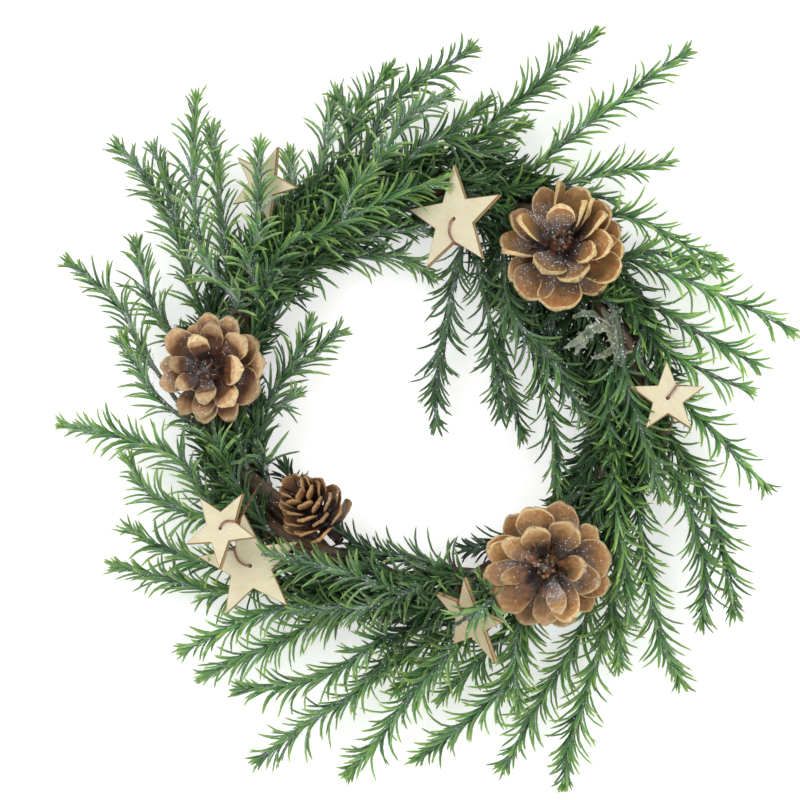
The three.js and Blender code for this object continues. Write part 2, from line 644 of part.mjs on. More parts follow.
function starCorners(star) {
  return Array.from({ length: 10 }, (_, i) => {
    const reach = star.reach * (i % 2 ? starShape.waist : 1);
    return new THREE.Vector2(reach * Math.cos(radians(36 * i)), reach * Math.sin(radians(36 * i)));
  });
}

function makeStar(star) {
  const outline = new THREE.Shape(starCorners(star));
  outline.holes.push(new THREE.Path().absarc(0, 0, starShape.holeRadius, 0, 2 * Math.PI, true));
  const plate = new THREE.ExtrudeGeometry(outline, {
    depth: starShape.thickness, bevelEnabled: false, curveSegments: 3,
  });
  plate.translate(0, 0, -starShape.thickness / 2);
  return toSolid(plate.applyMatrix4(starFrame(star)));
}

// The wire comes up through the hole, crosses the face to a notch, bends round the edge and runs
// down behind the star to a cane.
function starWirePoints(star) {
  const frame = starFrame(star);
  const radius = starShape.wireRadius;
  const face = starShape.thickness / 2 + radius + clearance;
  const notch = star.reach * starShape.waist;
  const towards = radians(36 + 72 * star.notch);
  const local = (along, height, bow = 0) => vec(
    Math.cos(towards) * along - Math.sin(towards) * bow,
    Math.sin(towards) * along + Math.cos(towards) * bow, height,
  ).applyMatrix4(frame);
  const bow = star.bow ?? 0;

  const points = [
    local(0, -face - 1.6), local(0, 0), local(0.25, face + 0.1), local(1.6, face + 0.5, bow * 0.6),
    local(notch * 0.6, face + 0.3, bow), local(notch, face + 0.25),
    local(notch + radius + 0.7, face - 0.6), local(notch + radius + 0.75, -face + 0.5),
    local(notch - 1, -face - 1.2),
  ];
  if (star.tail) return [...points, ...star.tail.map((point) => vec(...point))];
  const end = onCane(star.anchor, radius + 0.15);
  return [...points, points.at(-1).clone().lerp(end, 0.5).add(vec(0, 0, 1)), end];
}

function makeWire(points, radius) {
  return tube(points, points.map(() => radius), starShape.wireSides);
}

function starTest(star) {
  const inverse = starFrame(star).invert();
  const corners = starCorners(star);
  return (point, margin) => {
    const local = point.clone().applyMatrix4(inverse);
    if (Math.abs(local.z) > starShape.thickness / 2 + margin) return false;
    const flat = new THREE.Vector2(local.x, local.y);
    if (flat.length() > star.reach + margin) return false;
    let inside = false;
    for (let i = 0; i < 10; i++) {
      const [a, b] = [corners[i], corners[(i + 1) % 10]];
      const edge = b.clone().sub(a);
      const share = Math.min(Math.max(flat.clone().sub(a).dot(edge) / edge.lengthSq(), 0), 1);
      if (flat.distanceTo(a.clone().addScaledVector(edge, share)) < margin) return true;
      if (a.y > flat.y !== b.y > flat.y && flat.x < a.x + ((flat.y - a.y) / (b.y - a.y)) * (b.x - a.x)) {
        inside = !inside;
      }
    }
    return inside;
  };
}

// Cones

// Local x lies under the wreath's own +X, so that directions round the axis are the wreath's.
function coneFrame(cone) {
  const axis = leaningAxis(cone.lean);
  const side = vec(1, 0, 0).addScaledVector(axis, -axis.x).normalize();
  return new THREE.Matrix4().makeBasis(side, axis.clone().cross(side), axis).setPosition(...cone.foot);
}

// The scales as listed, or else in a spiral that closes towards the top.
function coneScales(cone, random) {
  if (cone.scales) {
    return cone.scales.map(([turn, reach, lift, width, roll = 0]) => ({
      turn,
      lift,
      width,
      roll,
      attach: cone.height * (0.19 + 0.0115 * (lift - 10)),
      length: (reach - 1.5) / Math.cos(radians(lift)),
    }));
  }
  return Array.from({ length: cone.count }, (_, i) => {
    const share = i / (cone.count - 1);
    const longest = (cone.reach - 2) * (0.96 + 0.08 * random());
    return {
      turn: i * needleShape.goldenAngle + 5 * random(),
      lift: THREE.MathUtils.lerp(cone.opening, 66, Math.pow(share, 1.15)),
      width: THREE.MathUtils.lerp(cone.reach * 0.6, 6, share),
      roll: 0,
      attach: THREE.MathUtils.lerp(5, cone.height * 0.74, Math.pow(share, 0.95)),
      length: THREE.MathUtils.lerp(longest, cone.height * 0.24, Math.pow(share, 1.3)),
    };
  });
}

// One woody scale: narrow where it leaves the core, widest past its middle, with a blunt tip that
// turns up. It is flat above and has a keel below.
function makeScale({ turn, attach, lift, length, width, roll }, start) {
  const stations = [
    { out: 0, rise: 0, half: width * 0.14, thick: 2.6 },
    { out: length * 0.7, rise: -0.6, half: width * 0.5, thick: 2.4 },
    { out: length, rise: length * 0.06, half: width * 0.3, thick: 2 },
  ];
  const [around, raised, rolled] = [turn, lift, roll].map(radians);
  const outwards = vec(
    Math.cos(around) * Math.cos(raised), Math.sin(around) * Math.cos(raised), Math.sin(raised));
  const across = vec(-Math.sin(around), Math.cos(around), 0).applyAxisAngle(outwards, rolled);
  const upwards = outwards.clone().cross(across);
  const base = vec(Math.cos(around) * start, Math.sin(around) * start, attach);
  const positions = [];
  for (const { out, rise, half, thick } of stations) {
    for (const [s, t] of [[0, -0.6], [1, 0.4], [-1, 0.4]]) {
      const corner = base.clone()
        .addScaledVector(outwards, out)
        .addScaledVector(across, half * s)
        .addScaledVector(upwards, rise + thick * t);
      positions.push(...corner.toArray());
    }
  }
  const faces = [0, 2, 1, 6, 7, 8];
  for (const i of [0, 3]) {
    for (let k = 0; k < 3; k++) {
      const next = (k + 1) % 3;
      faces.push(i + k, i + next, i + next + 3, i + k, i + next + 3, i + k + 3);
    }
  }
  return solidFrom(positions, faces);
}

function makeCone(cone) {
  const random = seededRandom(cone.seed);
  const foot = -(cone.stalk ?? 0);
  const profile = [
    [0, foot], [3.2, foot], [3.6, 4], [6.5, 7], [6, cone.height * 0.5],
    [2.4, cone.height * 0.74], [0, cone.height * 0.8],
  ].map(([reach, height]) => new THREE.Vector2(reach * (cone.slim ?? 1), height));
  const core = new THREE.LatheGeometry(profile, 6);
  core.rotateX(Math.PI / 2);
  const scales = coneScales(cone, random).map((scale) => makeScale(scale, 1.5));
  return fuse([toSolid(core), ...scales]);
}

// A cone is kept clear by the widest it gets at each height.
function coneTest(cone, solid) {
  const inverse = coneFrame(cone).invert();
  const mesh = solid.getMesh();
  const widest = new Array(60).fill(0);
  for (let i = 0; i < mesh.numVert; i++) {
    const local = vec(...mesh.vertProperties.subarray(i * 3, i * 3 + 3)).applyMatrix4(inverse);
    const slot = Math.round(local.z / 2) + 5;
    for (const near of [slot - 1, slot, slot + 1]) {
      if (near >= 0) widest[near] = Math.max(widest[near], Math.hypot(local.x, local.y));
    }
  }
  return (point, margin) => {
    const local = point.clone().applyMatrix4(inverse);
    const slot = Math.round(local.z / 2) + 5;
    const reach = widest[slot] ?? 0;
    return reach > 0 && Math.hypot(local.x, local.y) < reach + margin;
  };
}

// Binding wires

function bindingPoints(angle, stems) {
  const circles = [0, 1, 2].map((strand) => {
    const clock = radians(caneClock(angle, strand));
    const [x, y] = [Math.cos(clock), Math.sin(clock)].map((value) => value * ring.caneOffset);
    return { x, y, radius: ring.caneRadius };
  });
  const along = vec(-Math.sin(radians(angle)), Math.cos(radians(angle)), 0);
  const out = vec(Math.cos(radians(angle)), Math.sin(radians(angle)), 0);
  const middle = besideRing(angle, 0, 0);
  for (const { points, radii } of stems) {
    for (let i = 0; i < 4 * (points.length - 1); i++) {
      const start = Math.floor(i / 4);
      const offset = points[start].clone().lerp(points[start + 1], (i % 4) / 4).sub(middle);
      if (Math.abs(offset.dot(along)) > 2.5 || offset.length() > 19) continue;
      circles.push({ x: offset.dot(out), y: offset.z, radius: radii[start] + 0.8 });
    }
  }
  const margin = clearance + bindingWire.radius;
  return Array.from({ length: bindingWire.steps }, (_, k) => {
    const turn = (2 * Math.PI * k) / bindingWire.steps;
    const [x, y] = [Math.cos(turn), Math.sin(turn)];
    const support = circles
      .map((circle) => ({ circle, far: circle.x * x + circle.y * y + circle.radius }))
      .reduce((best, next) => (next.far > best.far ? next : best)).circle;
    const reach = support.radius + margin + 0.35;
    return middle.clone()
      .addScaledVector(out, support.x + reach * x)
      .add(vec(0, 0, support.y + reach * y));
  });
}

// Lichen tuft

function makeLichen() {
  return fuse(lichen.lobes.map(({ points, radii }) => {
    const raised = points.map(([x, y, z]) => vec(x, y, z + lichen.raise));
    return tube(raised, radii, 4, { hint: vec(0.8, -0.6, 0), flatten: lichen.flatten });
  }));
}

// The wreath

const wreath = new THREE.Group();
wreath.name = "pine_wreath";
const colours = {
  cane: { color: 0x5a4030, roughness: 0.9, metalness: 0 },
  cone: { color: 0x9a6238, roughness: 0.6, metalness: 0 },
  star: { color: 0xe3cda3, roughness: 0.7, metalness: 0 },
  starWire: { color: 0x8a4a2a, roughness: 0.45, metalness: 0.6 },
  bindingWire: { color: 0x7a3f30, roughness: 0.8, metalness: 0 },
  lichen: { color: 0x8f9f86, roughness: 0.85, metalness: 0 },
  spray: { color: 0x2f6b34, roughness: 0.55, metalness: 0 },
};

function place(name, solid, colour) {
  const mesh = new THREE.Mesh(toGeometry(solid), new THREE.MeshStandardMaterial(colours[colour]));
  mesh.name = name;
  wreath.add(mesh);
  return solid;
}

for (let strand = 0; strand < ring.strands; strand++) {
  place(`cane_${strand + 1}`, makeCane(strand), "cane");
  const points = canePoints(strand, 90);
  remember(`cane_${strand + 1}`, [...points, points[0]], [...points, points[0]].map(() => ring.caneRadius));
}

for (const spray of sprays) {
  spray.lines = stemLines(spray);
  for (const line of spray.lines) remember(spray.name, line.points, line.radii);
}

bindingWire.places.forEach((angle, i) => {
  const points = bindingPoints(angle, sprays.flatMap((spray) => spray.lines));
  const radii = points.map(() => bindingWire.radius);
  const hint = vec(-Math.sin(radians(angle)), Math.cos(radians(angle)), 0);
  const solid = tube(points, radii, bindingWire.sides, { closed: true, hint });
  place(`binding_wire_${i + 1}`, solid, "bindingWire");
  remember(`binding_wire_${i + 1}`, [...points, points[0]], [...radii, radii[0]]);
});

for (const cone of cones) {
  const solid = toSolid(toGeometry(makeCone(cone)).applyMatrix4(coneFrame(cone)));
  place(cone.name, solid, "cone");
  solidTests.push(coneTest(cone, solid));
}

for (const star of stars) {
  place(star.name, makeStar(star), "star");
  solidTests.push(starTest(star));
  const points = starWirePoints(star);
  place(`${star.name}_wire`, makeWire(points, starShape.wireRadius), "starWire");
  remember(`${star.name}_wire`, points, points.map(() => starShape.wireRadius));
}

place("lichen_tuft", makeLichen(), "lichen");
for (const { points, radii } of lichen.lobes) {
  remember("lichen_tuft", points.map(([x, y, z]) => vec(x, y, z + lichen.raise)), radii);
}

sprays.forEach((spray, i) => place(spray.name, makeSpray(spray, i + 1), "spray"));

export default wreath;
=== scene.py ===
# Pine wreath on twisted vine canes, with pine cones and plywood stars.
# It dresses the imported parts. Lengths here are millimetres, and meshes are made in metres.
import json

import bpy
import numpy as np
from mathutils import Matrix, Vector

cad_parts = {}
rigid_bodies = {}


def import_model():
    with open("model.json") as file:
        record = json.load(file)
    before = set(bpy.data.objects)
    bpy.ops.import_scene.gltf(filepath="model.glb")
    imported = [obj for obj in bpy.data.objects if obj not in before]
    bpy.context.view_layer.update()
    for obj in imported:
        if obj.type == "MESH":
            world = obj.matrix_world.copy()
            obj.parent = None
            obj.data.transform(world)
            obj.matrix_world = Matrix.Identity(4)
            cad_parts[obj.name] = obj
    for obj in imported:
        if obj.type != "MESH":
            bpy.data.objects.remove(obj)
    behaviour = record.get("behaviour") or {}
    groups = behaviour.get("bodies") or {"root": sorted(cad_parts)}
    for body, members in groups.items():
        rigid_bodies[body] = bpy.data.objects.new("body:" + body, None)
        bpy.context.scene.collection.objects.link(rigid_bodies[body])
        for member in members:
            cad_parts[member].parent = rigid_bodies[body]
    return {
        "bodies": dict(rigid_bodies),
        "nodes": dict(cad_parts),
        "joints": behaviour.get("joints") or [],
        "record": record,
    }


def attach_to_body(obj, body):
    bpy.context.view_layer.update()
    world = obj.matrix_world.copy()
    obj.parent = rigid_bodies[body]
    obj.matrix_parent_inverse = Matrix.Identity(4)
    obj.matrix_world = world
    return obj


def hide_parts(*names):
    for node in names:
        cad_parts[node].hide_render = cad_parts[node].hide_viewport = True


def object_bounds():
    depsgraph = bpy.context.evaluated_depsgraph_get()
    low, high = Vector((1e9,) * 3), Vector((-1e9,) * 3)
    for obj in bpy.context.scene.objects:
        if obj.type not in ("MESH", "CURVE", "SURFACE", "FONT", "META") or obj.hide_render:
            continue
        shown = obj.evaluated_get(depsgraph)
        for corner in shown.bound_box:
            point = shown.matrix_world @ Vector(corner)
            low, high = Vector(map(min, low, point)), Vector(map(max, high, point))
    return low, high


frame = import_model()
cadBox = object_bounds()
scene = bpy.context.scene
mm = 0.001
print("wreath: frame loaded with", len(frame["nodes"]), "nodes")

# Camera

photoView = {"middle": (-12.7, 5.3), "width": 370, "distance": 3000}

cameraData = bpy.data.cameras.new("photo_camera")
cameraData.sensor_width = 36
cameraData.lens = 36 * photoView["distance"] / photoView["width"]
cameraData.clip_end = 30
camera = bpy.data.objects.new("photo_camera", cameraData)
camera.location = (photoView["middle"][0] * mm, photoView["middle"][1] * mm,
                   photoView["distance"] * mm)
scene.collection.objects.link(camera)
scene.camera = camera

# Geometry helpers


def unit(vectors):
    return vectors / np.linalg.norm(vectors, axis=-1, keepdims=True)


def cosd(degrees):
    return np.cos(np.radians(degrees))


def sind(degrees):
    return np.sin(np.radians(degrees))


def smoothstep(value, low, high):
    share = np.clip((value - low) / (high - low), 0, 1)
    return share * share * (3 - 2 * share)


def heading(angle):
    # level direction at an angle from +X
    return np.array([cosd(angle), sind(angle), 0])


def roundTurn(sides):
    return 2 * np.pi * np.arange(sides) / sides


def lengthsAlong(line):
    return np.concatenate([[0], np.cumsum(np.linalg.norm(np.diff(line, axis=0), axis=1))])


def sample(values, lengths, places):
    return np.stack([np.interp(places, lengths, values[:, k]) for k in range(3)], axis=1)


def evenSteps(line, step):
    lengths = lengthsAlong(line)
    places = np.linspace(0, lengths[-1], max(3, round(lengths[-1] / step) + 1))
    return sample(line, lengths, places)


def smoothLine(points, step):
    # a spline through the points, cut into even steps
    points = np.array(points, float)
    padded = np.vstack([2 * points[0] - points[1], points, 2 * points[-1] - points[-2]])
    t = np.linspace(0, 1, 24, endpoint=False)[:, None]
    stretches = []
    for before, start, end, after in zip(padded, padded[1:], padded[2:], padded[3:]):
        leave, arrive = 0.5 * (end - before), 0.5 * (after - start)
        stretches.append(
            (2 * t**3 - 3 * t**2 + 1) * start + (t**3 - 2 * t**2 + t) * leave
            + (3 * t**2 - 2 * t**3) * end + (t**3 - t**2) * arrive)
    return evenSteps(np.vstack(stretches + [points[-1:]]), step)


def roundedLine(points, closed=False, rounds=3):
    # cuts the corners of a bent wire, and keeps its ends
    points = np.array(points, float)
    for _ in range(rounds):
        following = np.roll(points, -1, axis=0) if closed else points[1:]
        current = points if closed else points[:-1]
        cut = np.empty((2 * len(current), 3))
        cut[0::2] = 0.75 * current + 0.25 * following
        cut[1::2] = 0.25 * current + 0.75 * following
        points = cut if closed else np.vstack([points[:1], cut, points[-1:]])
    return points


def framesAlong(line, hint=None, closed=False):
    if closed:
        along = unit(np.roll(line, -1, axis=0) - np.roll(line, 1, axis=0))
    else:
        along = unit(np.gradient(line, axis=0))
    sides = np.empty_like(along)
    side = np.eye(3)[np.argmin(np.abs(along[0]))]
    for i, direction in enumerate(along):
        guide = side if hint is None else hint
        side = unit(guide - direction * np.dot(guide, direction))
        sides[i] = side
    return along, sides, np.cross(along, sides)


def loftFaces(rings, sides, closed=False):
    # faces between sections of the same number of corners, with both ends closed
    start = np.arange(rings if closed else rings - 1)[:, None] * sides
    corner = np.arange(sides)[None, :]
    following = (corner + 1) % sides
    nextStart = (start + sides) % (rings * sides)
    quads = np.stack([start + corner, start + following, nextStart + following,
                      nextStart + corner], axis=-1).reshape(-1, 4)
    if closed:
        return [quads]
    ends = np.array([np.arange(sides)[::-1], np.arange(sides) + (rings - 1) * sides])
    return [quads, ends]


def tubePoints(line, radii, sides, hint=None, closed=False):
    _, side, up = framesAlong(line, hint, closed)
    turn = roundTurn(sides)
    radii = np.broadcast_to(np.asarray(radii, float).reshape(len(line), -1), (len(line), sides))
    return (line[:, None] + (radii * np.cos(turn))[..., None] * side[:, None]
            + (radii * np.sin(turn))[..., None] * up[:, None])


class Shape:
    # gathers points, faces and the values that the materials read from them
    def __init__(self, *names):
        self.values = {name: [] for name in names}
        self.points, self.faces, self.slots, self.count = [], [], [], 0

    def add(self, points, faces, slot=0, **values):
        points = np.asarray(points, float).reshape(-1, 3)
        for group in faces:
            self.faces += (np.asarray(group) + self.count).tolist()
            self.slots += [slot] * len(group)
        for name, gathered in self.values.items():
            value = np.asarray(values.get(name, 0.0), float)
            size = (len(points), 3) if name == "grain" else (len(points),)
            gathered.append(np.broadcast_to(value, size))
        self.points.append(points)
        self.count += len(points)

    def build(self, name, materials, node, smooth=True):
        # makes the piece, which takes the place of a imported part
        mesh = bpy.data.meshes.new(name)
        mesh.from_pydata((np.vstack(self.points) * mm).tolist(), [], self.faces)
        for key, gathered in self.values.items():
            kind, field = ("FLOAT_VECTOR", "vector") if key == "grain" else ("FLOAT", "value")
            data = mesh.attributes.new(key, kind, "POINT").data
            data.foreach_set(field, np.concatenate(gathered).astype(np.float32).ravel())
        for material in materials:
            mesh.materials.append(material)
        mesh.polygons.foreach_set("material_index", self.slots)
        mesh.polygons.foreach_set("use_smooth", [smooth] * len(mesh.polygons))
        mesh.update()
        piece = bpy.data.objects.new(name, mesh)
        scene.collection.objects.link(piece)
        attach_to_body(piece, "root")
        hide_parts(node)
        return piece


# Shader helpers


def nodeGroup(name, inputs, outputs):
    # inputs and outputs are the kinds of the sockets by their names
    group = bpy.data.node_groups.new(name, "ShaderNodeTree")
    kinds = {"colour": "NodeSocketColor", "value": "NodeSocketFloat"}
    for way, sockets in (("INPUT", inputs), ("OUTPUT", outputs)):
        for label, kind in sockets.items():
            group.interface.new_socket(name=label, in_out=way, socket_type=kinds[kind])
    tree = Tree(group)
    return group, tree, tree.add("NodeGroupInput").outputs, tree.add("NodeGroupOutput").inputs


class Tree:
    # a few words less for each node and link
    def __init__(self, tree):
        self.nodes, self.links = tree.nodes, tree.links

    def add(self, kind, **settings):
        node = self.nodes.new(kind)
        for key, value in settings.items():
            setattr(node, key, value)
        return node

    def set(self, socket, value):
        if isinstance(value, bpy.types.NodeSocket):
            self.links.new(value, socket)
        else:
            socket.default_value = value

    def attribute(self, name, output="Fac"):
        return self.add("ShaderNodeAttribute", attribute_name=name).outputs[output]

    def math(self, operation, first, second, clamp=False):
        node = self.add("ShaderNodeMath", operation=operation, use_clamp=clamp)
        self.set(node.inputs[0], first)
        self.set(node.inputs[1], second)
        return node.outputs[0]

    def times(self, first, second):
        return self.math("MULTIPLY", first, second)

    def mix(self, share, first, second, blend="MIX"):
        node = self.add("ShaderNodeMix", data_type="RGBA", blend_type=blend)
        self.set(node.inputs[0], share)
        self.set(node.inputs[6], first)
        self.set(node.inputs[7], second)
        return node.outputs[2]

    def tint(self, base, by):
        return self.mix(1.0, base, by, "MULTIPLY")

    def mapRange(self, value, low, high, newLow=0.0, newHigh=1.0):
        node = self.add("ShaderNodeMapRange")
        for socket, setting in zip(node.inputs, (value, low, high, newLow, newHigh)):
            self.set(socket, setting)
        return node.outputs[0]

    def noise(self, vector, scale, detail=3.0, roughness=0.6, distortion=0.0):
        node = self.add("ShaderNodeTexNoise")
        self.set(node.inputs["Vector"], vector)
        for label, value in (("Scale", scale), ("Detail", detail), ("Roughness", roughness),
                             ("Distortion", distortion)):
            self.set(node.inputs[label], value)
        return node.outputs["Fac"]

    def bump(self, skin, height, strength, distance):
        node = self.add("ShaderNodeBump")
        for label, value in (("Height", height), ("Strength", strength), ("Distance", distance)):
            self.set(node.inputs[label], value)
        self.set(skin.inputs["Normal"], node.outputs["Normal"])

    def group(self, group, **values):
        node = self.add("ShaderNodeGroup", node_tree=group)
        for label, value in values.items():
            self.set(node.inputs[label], value)
        return node.outputs

    def place(self):
        return self.add("ShaderNodeTexCoord").outputs["Object"]


def newMaterial(name, constants=None):
    # constants are what is the same all over the surface, by the shader's own inputs
    material = bpy.data.materials.new(name)
    material.use_nodes = True
    skin = material.node_tree.nodes["Principled BSDF"]
    for label, value in (constants or {}).items():
        skin.inputs[label].default_value = value
    return material, Tree(material.node_tree), skin


def colour(red, green, blue):
    # a screen colour of 0 to 255 as the shader's own linear one
    return tuple(((c / 255 + 0.055) / 1.055) ** 2.4 if c > 10 else c / 3294 for c in
                 (red, green, blue)) + (1.0,)


# Shared effects


def makeFrost():
    # pale dust that lies on what faces up, in patches, and lone bright specks of glitter
    group, tree, given, made = nodeGroup(
        "frostAndGlitter",
        {"Base": "colour", "Frost": "value", "Frost colour": "colour", "Glitter": "value",
         "Base roughness": "value"},
        {"Color": "colour", "Roughness": "value"})
    place = tree.place()
    patches = tree.mapRange(tree.noise(place, 90, 4, 0.65), 0.38, 0.62)
    facing = tree.add("ShaderNodeSeparateXYZ")
    tree.set(facing.inputs[0], tree.add("ShaderNodeNewGeometry").outputs["Normal"])
    upwards = tree.mapRange(facing.outputs[2], -0.1, 0.9)
    frost = tree.math("MULTIPLY", tree.times(patches, upwards), given["Frost"], clamp=True)
    cells = tree.add("ShaderNodeTexVoronoi")
    tree.set(cells.inputs["Vector"], place)
    tree.set(cells.inputs["Scale"], 1400)
    chance = tree.add("ShaderNodeSeparateColor")
    tree.set(chance.inputs[0], cells.outputs["Color"])
    flurry = tree.times(given["Glitter"], tree.mapRange(patches, 0, 1, 0.15, 2))
    chosen = tree.math("LESS_THAN", chance.outputs[0], flurry)
    speck = tree.times(chosen, tree.math("LESS_THAN", cells.outputs["Distance"], 0.42))
    frosted = tree.mix(frost, given["Base"], given["Frost colour"])
    tree.set(made["Color"], tree.mix(speck, frosted, (0.95, 0.97, 1.0, 1)))
    rough = tree.math("ADD", given["Base roughness"], tree.times(frost, 0.25))
    tree.set(made["Roughness"], tree.times(rough, tree.mapRange(speck, 0, 1, 1, 0.35)))
    return group


def makeFibres():
    # long fibres of wood or bark, from the piece's own grain coordinates
    group, tree, given, made = nodeGroup(
        "woodFibres",
        {"Dark": "colour", "Light": "colour", "Scale": "value", "Contrast": "value"},
        {"Color": "colour", "Height": "value"})
    grain = tree.attribute("grain", "Vector")
    fibres = tree.noise(grain, given["Scale"], 6, 0.7, 0.6)
    broad = tree.noise(grain, tree.times(given["Scale"], 0.2), 3, 0.6)
    mixed = tree.math("ADD", tree.times(fibres, 0.65), tree.times(broad, 0.35))
    spread = tree.times(given["Contrast"], 0.5)
    share = tree.mapRange(mixed, tree.math("SUBTRACT", 0.5, spread), tree.math("ADD", 0.5, spread))
    tree.set(made["Color"], tree.mix(share, given["Dark"], given["Light"]))
    tree.set(made["Height"], mixed)
    return group


frostAndGlitter = makeFrost()
woodFibres = makeFibres()


def fibresOf(tree, dark, light, scale, contrast):
    return tree.group(woodFibres, Dark=colour(*dark), Light=colour(*light), Scale=scale,
                      Contrast=contrast)


def frostOver(tree, skin, base, frost, glitter, frostColour, roughness):
    # the shader's base colour and roughness, with frost and glitter on them
    frosted = tree.group(frostAndGlitter, **{
        "Base": base, "Frost": frost, "Glitter": glitter, "Frost colour": colour(*frostColour),
        "Base roughness": roughness})
    tree.set(skin.inputs["Base Color"], frosted["Color"])
    tree.set(skin.inputs["Roughness"], frosted["Roughness"])

# Ring of twisted canes

ring = {"centre": (1, 10), "radius": 92.5, "height": 10.1, "turns": 5, "phase": 20,
        "caneRadius": 4.85, "caneOffset": 6.15}
cane = {"twigs": 4, "twigOffset": 2.4, "twigRadius": 2.2, "twigTurns": -3, "steps": 300,
        "sides": 10, "stretch": 9, "sway": (14, 8), "swell": 0.07, "joint": 0.09, "ridge": 0.045,
        "rough": 0.028, "thickest": 1.06, "lowest": 0.02}


def besideRing(angle, clock, distance):
    # ring angle, clock angle round the bundle and distance from its middle
    reach = ring["radius"] + distance * cosd(clock)
    return np.stack(np.broadcast_arrays(ring["centre"][0] + reach * cosd(angle),
                                        ring["centre"][1] + reach * sind(angle),
                                        ring["height"] + distance * sind(clock)), axis=-1)


def caneClock(angle, strand):
    return ring["turns"] * angle + ring["phase"] + 120 * strand


def barkMaterial():
    material, tree, skin = newMaterial("vineBark", {"Specular IOR Level": 0.35})
    fibres = fibresOf(tree, (26, 17, 12), (124, 96, 68), 2.6, 0.42)
    tone = tree.mix(tree.attribute("tone"), (0.48, 0.44, 0.42, 1), (1.3, 1.26, 1.2, 1))
    frostOver(tree, skin, tree.tint(fibres["Color"], tone), 0.25, 0.02, (176, 170, 160), 0.78)
    tree.bump(skin, fibres["Height"], 0.7, 0.0005)
    return material


def makeCane(strand, material):
    rng = np.random.default_rng(40 + strand)
    shape = Shape("grain", "tone")
    steps, sides = cane["steps"], cane["sides"]
    angle = np.linspace(0, 360, steps, endpoint=False)
    clock = caneClock(angle, strand)
    middle = besideRing(angle, clock, ring["caneOffset"])
    outwards = np.stack([cosd(clock) * cosd(angle), cosd(clock) * sind(angle), sind(clock)], -1)
    across = np.stack([-sind(clock) * cosd(angle), -sind(clock) * sind(angle), cosd(clock)], -1)
    for twig in range(cane["twigs"]):
        swing = cane["twigTurns"] * angle + 360 * twig / cane["twigs"] + strand * 31
        swing = swing + cane["sway"][0] * sind(3 * angle + 90 * twig)
        swing = swing + cane["sway"][1] * sind(7 * angle + 50 * strand)
        line = middle + cane["twigOffset"] * (cosd(swing)[:, None] * outwards
                                              + sind(swing)[:, None] * across)
        turn = roundTurn(sides)
        thick = 1 + cane["swell"] * np.sin(np.radians(11 * angle) + rng.uniform(0, 6))
        joints = 1 - smoothstep((angle * 0.06 + 0.37 * twig) % 1, 0.0, 0.12)
        thick = np.minimum(thick - cane["joint"] * joints, cane["thickest"])
        ridges = cane["ridge"] * np.sin(3 * turn + np.radians(12 * angle)[:, None])
        ridges = ridges + rng.normal(0, cane["rough"], (steps, sides))
        radii = cane["twigRadius"] * (thick[:, None] + ridges)
        points = tubePoints(line, radii, sides, np.array([0, 0, 1.0]), closed=True)
        points[..., 2] = np.maximum(points[..., 2], cane["lowest"])
        slimRing = ring["radius"] / cane["stretch"] + cane["twigRadius"] * np.cos(turn)
        grain = np.stack([slimRing * cosd(angle)[:, None], slimRing * sind(angle)[:, None],
                          np.broadcast_to(cane["twigRadius"] * np.sin(turn) + 9 * twig,
                                          (steps, sides))], axis=-1)
        tone = np.repeat(0.5 + 0.5 * np.sin(np.radians(5 * angle) + 2 * twig + strand), sides)
        shape.add(points, loftFaces(steps, sides, closed=True), grain=grain.reshape(-1, 3),
                  tone=tone)
    shape.build(f"cane_{strand + 1}_twigs", [material], f"cane_{strand + 1}")


bark = barkMaterial()
for strand in range(3):
    makeCane(strand, bark)
print("wreath: canes made")
